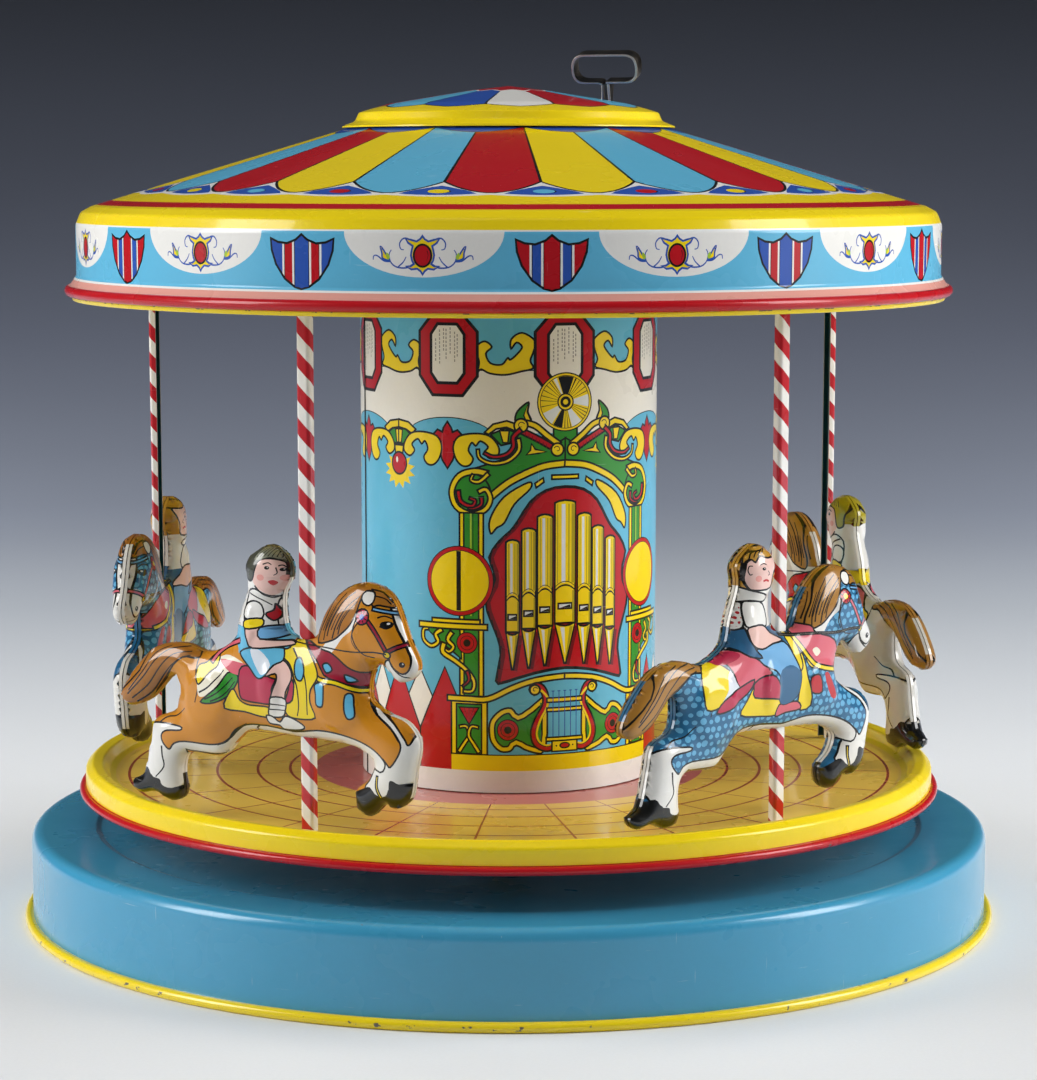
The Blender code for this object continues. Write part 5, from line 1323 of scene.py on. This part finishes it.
def horse_print(index):
    """The whole print of one horse and its rider."""
    palette = PALETTES[index]
    girl = index in GIRLS
    shapes = plain(box(-70, 40, 45, 130), palette["coat"])
    if palette.get("dapple"):
        random = np.random.default_rng(5)
        for row in range(24):
            for column in range(44):
                a, b, c = random.random(3)
                u = -62.0 + 2.4 * (column + 0.5 * (row % 2)) + 0.7 * a
                z = 62.0 + 2.2 * row + 0.7 * b
                shapes += plain(oval(u, z, 0.65 + 0.4 * c, 0.6 + 0.4 * c, 9), "dapple")
    shapes += plain([(-70, 72), (-58, 73), (-51, 82), (-45, 89), (-36, 92.5), (-36, 110),
                     (-70, 110)], palette["mane"])
    shapes += plain([(2, 99.5), (9, 99.5), (13, 104), (18, 110), (26, 113), (22, 120), (2, 112)],
                    palette["mane"])
    shapes += zones(girl, {**COMMON, **palette})
    if palette.get("dapple"):
        shapes += plain(oval(33.2, 94.8, 4.8, 5.6), "white")
    shapes += layered(ANIMAL, palette)
    for k in range(1, 9):
        u = 8.0 + 1.05 * k
        strand = [(u - 3.2, 101.6 + 0.15 * k), (u - 1.4, 105.6 + 0.1 * k),
                  (u + 0.3, 109.4 - 0.12 * k)]
        shapes += plain(band(strand, 0.38, 0.16), "ink")
    for k in range(7):
        u, z = -58.0 + 3.0 * k, 92.4 + 1.6 * k
        strand = [(u - 1.4, z - 3.2 + 0.35 * k), (u + 1.2, z + 0.8), (u + 4.4, z + 2.0 - 0.3 * k)]
        shapes += plain(band(strand, 0.36, 0.15), "ink")
    for one in EYES:
        shapes += eye(*one)
    for radius, ink in ((2.4, "ink"), (1.9, "red" if girl else "magenta"),
                        (0.8, "yellow" if girl else "blue")):
        shapes += plain(oval(21.6, 107.0, radius, n=14), ink)
    for k in range(8):
        a = math.radians(45.0 * k + 20.0)
        ray = [(21.6 + r * math.cos(a), 107.0 + r * math.sin(a)) for r in (0.9, 1.9)]
        shapes += plain(band(ray, 0.3), "ink")
    for radius, ink in ((1.2, "ink"), (0.7, "yellow")):
        shapes += plain(oval(29.0, 96.9, radius, n=12), ink)
    shapes += layered(GIRL if girl else BOY, palette)
    if girl:
        blouse = grown(next(points for ink, _, points in GIRL if ink == "blouse"), -0.5)
        for row in range(7):
            for column in range(7):
                spot = oval(-26 + 1.5 * (column + 0.5 * (row % 2)), 100.6 + 1.35 * row, 0.42, n=8)
                shapes.append((spot, "red", blouse))
        ear = [(-16.0, 118.8), (-17.0, 118.8), (-17.4, 117.6), (-16.8, 116.4), (-16.2, 116.6)]
        shapes += plain(band(ear, 0.3), "ink")
        for k in range(6):
            lock = [(-19.4 + 1.4 * k, 119.6 + 0.5 * k), (-18.2 + 1.5 * k, 121.4 + 0.4 * k),
                    (-15.6 + 1.4 * k, 122.6 + 0.2 * k)]
            shapes += plain(band(lock, 0.32, 0.15), "ink")
        shapes += eye(-12.2, 117.8, 0.7, 0.45)
        for path, wide, ink in (([(-13.6, 118.9), (-12.4, 119.3), (-11.2, 118.9)], 0.3, "ink"),
                                ([(-12.6, 114.4), (-11.4, 114.6), (-10.2, 114.2)], 0.6, "red"),
                                ([(-10.6, 117.2), (-9.9, 116.2), (-10.6, 115.9)], 0.25, "ink")):
            shapes += plain(band(path, wide), ink)
        shapes += plain(oval(-14.2, 115.2, 1.1, 0.9, 12), "blush")
    else:
        for one in BOY_EYES:
            shapes += eye(*one)
        for k in range(9):
            strand = [(-14.4 + 1.15 * k, 120.9 + 0.6 * math.sin(k / 2.6)),
                      (-13.2 + 0.95 * k, 122.4), (-11.6 + 0.7 * k, 123.6)]
            shapes += plain(band(strand, 0.3, 0.12), "ink")
        for u in (-11.8, -5.2):
            shapes += plain(oval(u, 115.6, 1.2, 0.9, 12), "blush")
    return shapes


def ride_axes(index):
    """The way a ride faces, the way to the middle, and where its pole stands."""
    angle = math.radians(POLE_ANGLES[index])
    along = np.array([math.cos(angle), math.sin(angle), 0.0])
    inward = np.array([-math.sin(angle), math.cos(angle), 0.0])
    return along, inward, -inward * POLE_R


def at_pole(points):
    """Which points lie where the pressing steps out round the pole."""
    return (np.abs(points[:, 0]) < GROOVE_HALF + 0.01) & (points[:, 1] < GROOVE_TOP)


def make_silhouette():
    """The smooth outline of the pressing, with steps where the pole passes through it."""
    p = spline(HORSE_OUTLINE)
    if area(p) < 0.0:
        p = p[::-1]
    out = []
    for a, b in zip(p, np.roll(p, -1, 0)):
        out.append(a)
        for u in (-GROOVE_HALF, GROOVE_HALF) if b[0] > a[0] else (GROOVE_HALF, -GROOVE_HALF):
            t = (u - a[0]) / (b[0] - a[0]) if b[0] != a[0] else -1.0
            hit = a + (b - a) * t
            if 0.0 < t < 1.0 and hit[1] < GROOVE_TOP:
                step = np.array([0.04 * np.sign(b[0] - a[0]), 0.0])
                out += [hit - step, hit + step]
    return np.array(out)


def nearness(points, outline):
    """Distance to an outline, rounded off so that it has no ridges."""
    ring = lengthened(np.concatenate([outline, outline[:1]]), 0.4)
    middle, size = (ring[1:] + ring[:-1]) / 2, np.linalg.norm(np.diff(ring, axis=0), axis=1)
    out = np.zeros(len(points))
    for start in range(0, len(points), 500):
        part = points[start:start + 500]
        d2 = ((part[:, None, :] - middle[None]) ** 2).sum(2) + 1e-4
        out[start:start + 500] = math.pi / (size / d2).sum(1)
    return out


def relief(points, outline):
    """How far the pressing rises over its rim."""
    height = 1.45 * np.sqrt(1.9 * np.maximum(nearness(points, outline) - 0.02, 0.0))
    for rise, soft, middle, radii in BULGES:
        away = np.sqrt((((points - middle) / radii) ** 2).sum(1))
        t = np.clip((1.0 - away) * min(radii) / soft, 0.0, 1.0)
        height += rise * t * t * (3 - 2 * t)
    return height


def outline_normals(outline):
    """Normals that point out of the pressing, in its own plane."""
    before, after = outline - np.roll(outline, 1, 0), np.roll(outline, -1, 0) - outline
    ring = np.stack([(before + after)[:, 1], -(before + after)[:, 0]], 1)
    return ring / (np.linalg.norm(ring, axis=1)[:, None] + 1e-9)


def horse_face(index, outline):
    """The printed side before it is pressed: points, triangles and inks."""
    low, high = outline.min(0), outline.max(0)
    grid = np.array([(x, y) for x in np.arange(low[0], high[0], 1.5)
                     for y in np.arange(low[1], high[1], 1.5)])
    grid = grid[holds(grown(outline, -0.5), grid)]
    nowhere = np.array([(0, 0), (0.1, 0), (0, 0.1)], float)
    shapes = horse_print(index) + [(outline, "ink", nowhere)]
    frame_box = (low[0] - 3, low[1] - 3, high[0] + 3, high[1] + 3)
    flat, faces, inks = triangulate(shapes, frame_box, (), (), grid)
    keep = holds(outline, flat[faces].mean(1))
    return (*compacted(flat, faces[keep]), inks[keep])


def pressed(flat, outline, ring):
    """Depth, normals and painted shade of the pressing at its printed points; the shade darkens the
    inks near the rim and lightens them on the bulges.
    """
    step = 0.06
    rise = relief(flat, outline)
    slope_u = (relief(flat + [step, 0], outline) - relief(flat - [step, 0], outline)) / (2 * step)
    slope_z = (relief(flat + [0, step], outline) - relief(flat - [0, step], outline)) / (2 * step)
    edge = np.array([((outline - p) ** 2).sum(1).min() for p in flat]) < 1e-6
    rise[edge] = 0.0
    normal = np.stack([-slope_u, np.ones(len(flat)), -slope_z], 1)
    nearest = [int(((outline - p) ** 2).sum(1).argmin()) for p in flat[edge]]
    normal[edge] = np.stack([ring[nearest, 0], np.full(len(nearest), 0.35), ring[nearest, 1]], 1)
    normal /= np.linalg.norm(normal, axis=1)[:, None]
    depth = FRONT + rise
    near_pole = at_pole(flat)
    depth[near_pole] = np.maximum(depth[near_pole], FRONT_AT_POLE)
    # Painted shade: the inks are darker where the pressing is low near its rim and lighter on its high
    # bulges.
    return depth, normal, 0.80 + 0.20 * np.clip(rise / 4.2, 0.0, 1.0)


def wall_colours(index, between):
    """Inks of the pressing's side wall, which follow the print next to it."""
    palette = {**COMMON, **PALETTES[index]}
    inks = np.full(len(between), INK_NUMBER[palette["coat"]])
    grounds = plain(box(-70, 40, 45, 66.5), "white")
    grounds += [one for one in layered(ANIMAL, palette)
                if one[1] in (palette["mane"], "white") and abs(area(one[0])) > 25.0]
    for path, ink, _ in grounds + zones(index in GIRLS, palette):
        inks[holds(path, between)] = INK_NUMBER[ink]
    if palette.get("dapple"):
        inks[(between[:, 0] > 26.0) & (between[:, 1] > 88.0)] = INK_NUMBER["white"]
    inks[between[:, 1] < HOOF_TOP] = INK_NUMBER["ink"]
    return inks


def make_horse(index, material):
    outline = make_silhouette()
    ring = outline_normals(outline)
    flat, faces, inks = horse_face(index, outline)
    depth, normal, shade = pressed(flat, outline, ring)
    top = np.where(at_pole(outline), FRONT_AT_POLE, FRONT)
    bottom = np.where(at_pole(outline), BACK_AT_POLE, BACK)
    inside = grown(outline, -0.4)
    wall_inks = np.tile(wall_colours(index, (outline + np.roll(outline, -1, 0)) / 2 - ring * 1.3), 2)
    n = len(outline)
    i = np.arange(n)
    j = (i + 1) % n
    quads = np.concatenate([np.stack([i, j, n + j], 1), np.stack([i, n + j, n + i], 1)])
    wall_normal = np.stack([ring[:, 0], np.full(n, 0.12), ring[:, 1]], 1)
    back_normal = np.tile([0.0, -1.0, 0.0], (n, 1))
    loops = ((outline, bottom, outline, top, wall_normal),
             (inside, bottom, outline, bottom, back_normal),
             (inside, top, inside, bottom, back_normal))
    along, inward, origin = ride_axes(index)
    up = np.array([0.0, 0.0, 1.0])
    for side, name in ((-1.0, "outer"), (1.0, "inner")):
        sheet = Sheet()

        # tone is the painted shade of each point, which darkens its ink.
        def put(plan, across, normals, triangles, colour, tone):
            points = (origin + plan[:, :1] * along + (side * across)[:, None] * inward
                      + plan[:, 1:] * up)
            turned = (normals[:, :1] * along + side * normals[:, 1:2] * inward
                      + normals[:, 2:] * up)
            if side > 0:
                triangles = triangles[:, ::-1]
            sheet.add(points, turned, triangles, colour, 0.0, tone)

        put(flat, depth, normal, faces, inks, shade)
        # The side walls get a painted shade that darkens their inks to 0.82.
        for one, one_depth, two, two_depth, normals in loops:
            put(np.concatenate([one, two]), np.concatenate([one_depth, two_depth]),
                np.concatenate([normals, normals]), quads, wall_inks, np.full(2 * n, 0.82))
        obj = sheet.build(f"horse_{index + 1}_{name}_print", material)
        place(obj, "carousel", [f"horse_{index + 1}_{name}"])


# ---- poles --------------------------------------------------------------------
def channel(half_w, half_d, bend):
    """The section of a pole: a U whose open side faces the middle of the toy."""
    corner = [(-half_w, half_d)]
    for start, cx in ((180.0, -half_w + bend), (270.0, half_w - bend)):
        corner += [(cx + bend * math.cos(math.radians(start + 11.25 * k)),
                    -half_d + bend + bend * math.sin(math.radians(start + 11.25 * k)))
                   for k in range(9)]
    return np.array(corner + [(half_w, half_d)])


def stripes(width, height, first):
    """Red stripes that climb round a pole, the lowest starting near first."""
    period, slant = 9.3, 1.05
    shapes = plain(box(-1, -1, width + 1, height + 1), "white")
    for k in range(-2, 18):
        left = k * period + first + slant
        right = k * period + first - slant * width
        shapes += plain([(-1, left), (width + 1, right), (width + 1, right + period * 0.5),
                         (-1, left + period * 0.5)], "red")
    return shapes


def make_pole(index, material):
    """A folded channel with slanting stripes outside and dark paint inside."""
    outer = channel(2.2, 1.2, 1.2)
    slopes = profile_normals(outer)
    inner = outer - slopes * 0.5
    low, high = TABLE_Z, CEILING_Z
    lengths = arc_lengths(outer)
    shapes = stripes(lengths[-1], high - low, (2.0, 5.5, 3.0, 0.5, 7.0)[index])
    flat, faces, inks = triangulate(shapes, (0.0, 0.0, lengths[-1], high - low), lengths[1:-1],
                                    np.arange(10.0, high - low, 12.0))
    along, inward, origin = ride_axes(index)

    def spot(line, normals):
        u, v = (np.interp(flat[:, 0], lengths, line[:, k]) for k in (0, 1))
        nu, nv = (np.interp(flat[:, 0], lengths, normals[:, k]) for k in (0, 1))
        points = origin + u[:, None] * along + v[:, None] * inward
        points[:, 2] = low + flat[:, 1]
        return points, nu[:, None] * along + nv[:, None] * inward

    sheet = Sheet()
    sheet.add(*spot(outer, slopes), faces, inks)
    sheet.add(*spot(inner, -slopes), faces[:, ::-1], "teal")
    n = len(outer)
    i = np.arange(n - 1)
    quads = np.concatenate([np.stack([i, i + 1, n + i + 1], 1), np.stack([i, n + i + 1, n + i], 1)])
    ends = np.concatenate([outer, inner])
    for z, way in ((low, -1.0), (high, 1.0)):
        points = origin + ends[:, :1] * along + ends[:, 1:] * inward
        points[:, 2] = z
        sheet.add(points, np.tile([0.0, 0.0, way], (2 * n, 1)),
                  quads[:, ::-1] if way < 0 else quads, "tin")
    quad = np.array([[0, 1, 3], [0, 3, 2]])
    for k in (0, n - 1):
        points = np.array([origin + p[0] * along + p[1] * inward + np.array([0, 0, z])
                           for p in (outer[k], inner[k]) for z in (low, high)])
        sheet.add(points, np.tile(inward, (4, 1)), quad if k == 0 else quad[:, ::-1], "tin")
    obj = sheet.build(f"pole_{index + 1}_print", material)
    place(obj, "carousel", [f"pole_{index + 1}"])


# ---- key and bare metal --------------------------------------------------------
def make_key(material):
    """A strip bent to an oblong grip, leaning a little, on a square post."""
    wide, high, bend, thick, depth = 19.9, 8.4, 3.9, 0.75, 5.8
    foot = np.array([30.0, 6.0, 253.9])
    corners = [(-1.2, -14.0), (-1.2, -0.2), (-wide / 2, 0.0), (-wide / 2, high),
               (wide / 2, high), (wide / 2, 0.0), (0.2, 0.0)]
    path = bent(corners, [1.3, bend, bend, bend, bend], 9)
    other = np.array([(0.95, -14.0), (0.95, -6.0), (0.95, -0.7)])
    post = np.array([(0.0, -14.0), (0.0, -6.0), (0.0, -0.6)])
    lean, turn = math.radians(15.0), math.radians(-17.0)
    c, s = math.cos(turn), math.sin(turn)
    spin = np.array([[c, -s, 0.0], [s, c, 0.0], [0.0, 0.0, 1.0]])
    corner, section = 0.16, []
    for quarter, (sx, sy) in enumerate(((1, 1), (-1, 1), (-1, -1), (1, -1))):
        for k in range(4):
            a = math.radians(90 * quarter + 30 * k)
            section.append((sx * (thick / 2 - corner) + corner * math.cos(a),
                            sy * (depth / 2 - corner) + corner * math.sin(a),
                            math.cos(a), math.sin(a)))
    section = np.array(section)
    m = len(section)
    sheet = Sheet()

    def leaned(line, offsets):
        """The strip leans about its foot; the post below stays upright."""
        share = np.clip((line[:, 1] + 1.5) / 1.5, 0.0, 1.0)
        tilt = lean * share
        z = np.maximum(line[:, 1], 0.0)
        y = offsets[:, 0]
        out_y = y * np.cos(tilt) - z * np.sin(tilt)
        out_z = line[:, 1] - z + z * np.cos(tilt) + y * np.sin(tilt)
        return np.stack([line[:, 0], out_y, out_z], 1)

    def turned(vectors, tilt):
        y = vectors[:, 1] * np.cos(tilt) - vectors[:, 2] * np.sin(tilt)
        z = vectors[:, 1] * np.sin(tilt) + vectors[:, 2] * np.cos(tilt)
        return np.stack([vectors[:, 0], y, z], 1) @ spin.T

    for line, fat in ((path, 1.0), (other, 1.0), (post, 1.9)):
        along = np.gradient(line, axis=0)
        along /= np.linalg.norm(along, axis=1)[:, None]
        side = np.stack([along[:, 1], -along[:, 0]], 1)
        n = len(line)
        i, k = (x.ravel() for x in np.meshgrid(np.arange(n), np.arange(m), indexing="ij"))
        flat = line[i] + side[i] * section[k, :1] * fat
        narrow = np.where(line[i, 1:] < -1.0, 0.46, 1.0)
        points = leaned(flat, section[k, 1:2] * narrow / fat ** 0.3) @ spin.T + foot
        tilt = lean * np.clip((flat[:, 1] + 1.5) / 1.5, 0.0, 1.0)
        normals = turned(np.stack([side[i, 0] * section[k, 2], section[k, 3],
                                   side[i, 1] * section[k, 2]], 1), tilt)
        i, k = (x.ravel() for x in np.meshgrid(np.arange(n - 1), np.arange(m), indexing="ij"))
        a, b = i * m + k, i * m + (k + 1) % m
        faces = np.concatenate([np.stack([a, b, b + m], 1), np.stack([a, b + m, a + m], 1)])
        # The strip's narrow edges are marked white for the lighter edge of the nickel, partly rubbed
        # metal and partly a painted highlight.
        edge = np.where(np.abs(section[k, 3]) > 0.4, INK_NUMBER["white"], INK_NUMBER["tin"])
        if fat > 1.0:
            edge[:] = INK_NUMBER["ink"]
        sheet.add(points, normals, faces, np.concatenate([edge, edge]))
        for start, way in ((0, -1.0), (n - 1, 1.0)):
            ring = np.arange(m) + start * m
            fan = np.array([(ring[0], ring[k + 1], ring[k]) if way > 0 else
                            (ring[0], ring[k], ring[k + 1]) for k in range(1, m - 1)])
            out = along[start] * way
            cap = turned(np.array([[out[0], 0.0, out[1]]]), tilt[start * m:start * m + 1])
            sheet.add(points, np.repeat(cap, len(points), 0), fan, "tin")
    place(sheet.build("key_strip", material), "winding", ["key"])


def dress_cad(metals):
    """Bare metal for the CAD pieces that are shown as they are."""
    for entry in frame["record"]["subparts"]:
        obj = frame["nodes"][entry["node"]]
        if entry["material_slot"] in metals:
            obj.data.materials.clear()
            obj.data.materials.append(metals[entry["material_slot"]])


# ---- stage ------------------------------------------------------------------
# Colours of the floor and backdrop by distance from the middle, in metres: a painted fall-off of the
# light, pale in the middle and dark further out.
FLOOR_FALLOFF_TONES = ((0.0, (0.80, 0.81, 0.82)), (0.35, (0.62, 0.64, 0.66)), (0.7, (0.43, 0.46, 0.50)),
               (1.1, (0.30, 0.33, 0.40)), (1.6, (0.19, 0.21, 0.27)), (2.4, (0.055, 0.06, 0.075)))


def make_stage():
    """A pale floor that sweeps up all round into a dark backdrop; the darkening outwards is painted
    shade.
    """
    path = [(0.0, 0.0)] + [(r, 0.0) for r in np.linspace(0.1, 1.0, 10)]
    path += [(1.0 + 1.3 * math.sin(a), 1.3 * (1 - math.cos(a))) for a in np.linspace(0.1, 1.45, 14)]
    sides = 96
    points = [(r * math.cos(2 * math.pi * k / sides), r * math.sin(2 * math.pi * k / sides), z)
              for k in range(sides) for r, z in path[1:]]
    count = len(path) - 1
    faces = []
    for k in range(sides):
        a, b = k * count, (k + 1) % sides * count
        faces += [(a + i, b + i, b + i + 1, a + i + 1)[::-1] for i in range(count - 1)]
        faces.append((len(points), a, b))
    points.append((0.0, 0.0, 0.0))
    floor = bpy.data.meshes.new("floor")
    floor.from_pydata(points, [], faces)
    floor.shade_smooth()
    obj = bpy.data.objects.new("floor", floor)
    bpy.context.scene.collection.objects.link(obj)
    material, tree, shader = nodes_of("floor_paper")
    where = add_node(tree, "ShaderNodeTexCoord")
    parts = add_node(tree, "ShaderNodeSeparateXYZ")
    tree.links.new(where.outputs["Object"], parts.inputs["Vector"])
    x, y, z = (parts.outputs[k] for k in "XYZ")
    away = maths(tree, "SQRT", maths(tree, "ADD", maths(tree, "MULTIPLY", x, x),
                                     maths(tree, "MULTIPLY", y, y)), 0.0)
    far = maths(tree, "ADD", away, maths(tree, "MULTIPLY", z, 1.2))
    tone = add_node(tree, "ShaderNodeValToRGB")
    reach = FLOOR_FALLOFF_TONES[-1][0]
    tree.links.new(maths(tree, "DIVIDE", far, reach), tone.inputs["Fac"])
    elements = tone.color_ramp.elements
    elements[0].color = (*FLOOR_FALLOFF_TONES[0][1], 1.0)
    elements[1].color = (*FLOOR_FALLOFF_TONES[-1][1], 1.0)
    for at, colour in FLOOR_FALLOFF_TONES[1:-1]:
        elements.new(at / reach).color = (*colour, 1.0)
    # The colour is paper grain over the painted fall-off of the light.
    paper_and_falloff = mix(tree, ramp(tree, noise(tree, 900.0, 2.0), 0.3, 0.7, 0.0, 0.04),
                tone.outputs["Color"], (0.5, 0.5, 0.5, 1.0), "MULTIPLY")
    tree.links.new(paper_and_falloff, shader.inputs["Base Color"])
    shader.inputs["Roughness"].default_value = 0.6
    shader.inputs["Specular IOR Level"].default_value = 0.25
    floor.materials.append(material)


# Each light: name, place, size and power. The shines are seen only in reflections, the
# others only in the light that they throw.
LIGHTS = (
    ("left_light", (-1.2, -0.05, 0.50), (0.8, 0.85), 17.0),
    ("right_light", (1.2, 0.0, 0.50), (0.8, 0.85), 20.0),
    ("top_light", (0.0, -0.45, 1.35), (0.8, 0.7), 5.5),
    ("front_fill", (0.0, -1.5, 0.75), (0.9, 0.4), 1.8),
    ("back_left", (-0.95, 0.95, 0.55), (0.5, 0.5), 5.0),
    ("back_right", (0.95, 0.95, 0.55), (0.5, 0.5), 5.0),
    ("left_shine", (-1.15, -0.35, 0.62), (0.45, 0.8), 9.0),
    ("right_shine", (1.15, -0.3, 0.62), (0.45, 0.8), 9.5),
)


def light(name, place_at, size, power):
    lamp = bpy.data.lights.new(name, "AREA")
    lamp.shape = "RECTANGLE"
    lamp.size, lamp.size_y = size
    lamp.energy = power
    obj = bpy.data.objects.new(name, lamp)
    obj.location = place_at
    aim = Vector((0.0, 0.0, 0.12))
    obj.rotation_euler = (aim - Vector(place_at)).to_track_quat("-Z", "Y").to_euler()
    obj.visible_glossy = name.endswith("shine")
    obj.visible_diffuse = not obj.visible_glossy
    bpy.context.scene.collection.objects.link(obj)


def make_lights_and_camera():
    world = bpy.data.worlds.new("studio")
    bpy.context.scene.world = world
    world.use_nodes = True
    background = world.node_tree.nodes["Background"]
    background.inputs["Color"].default_value = (0.30, 0.34, 0.42, 1.0)
    background.inputs["Strength"].default_value = 0.12
    bpy.context.scene.view_settings.view_transform = "Standard"
    for values in LIGHTS:
        light(*values)
    lens = bpy.data.cameras.new("camera")
    lens.lens = 102.4
    lens.sensor_width = 36.0
    lens.shift_x = 0.0091
    lens.shift_y = 0.0926
    camera = bpy.data.objects.new("camera", lens)
    camera.location = (0.0, -0.9415, 0.228)
    camera.rotation_euler = (math.radians(81.25), 0.0, 0.0)
    bpy.context.scene.collection.objects.link(camera)
    bpy.context.scene.camera = camera


LITHO = litho("litho_tin")
LITHO_RIDE = litho("litho_ride", coat=0.9, gloss=0.05)
LITHO_BASE = litho("litho_base", grime=0.35, scratches=0.8, dents=0.16, coat=0.9, gloss=0.2)
make_base(LITHO_BASE)
make_deck(LITHO)
make_column(LITHO)
make_ceiling(LITHO)
make_canopy(LITHO)
make_cone(LITHO)
make_cap(LITHO)
for i in range(5):
    make_pole(i, LITHO_RIDE)
    make_horse(i, LITHO_RIDE)
make_key(worn_nickel_edge_highlight("worn_nickel_edge_highlight"))
dress_cad({"steel": metal("drawn_steel", (0.42, 0.42, 0.43, 1.0), (0.18, 0.16, 0.15, 1.0), 0.30,
                          (1.0, 1.0, 12.0)),
           "brass": metal("stamped_brass", (0.62, 0.47, 0.18, 1.0), (0.28, 0.19, 0.08, 1.0), 0.28),
           "spring_steel": metal("blued_spring", (0.16, 0.19, 0.26, 1.0), (0.10, 0.08, 0.09, 1.0),
                                 0.25, (1.0, 1.0, 8.0), 0.3)})
make_lights_and_camera()
make_stage()
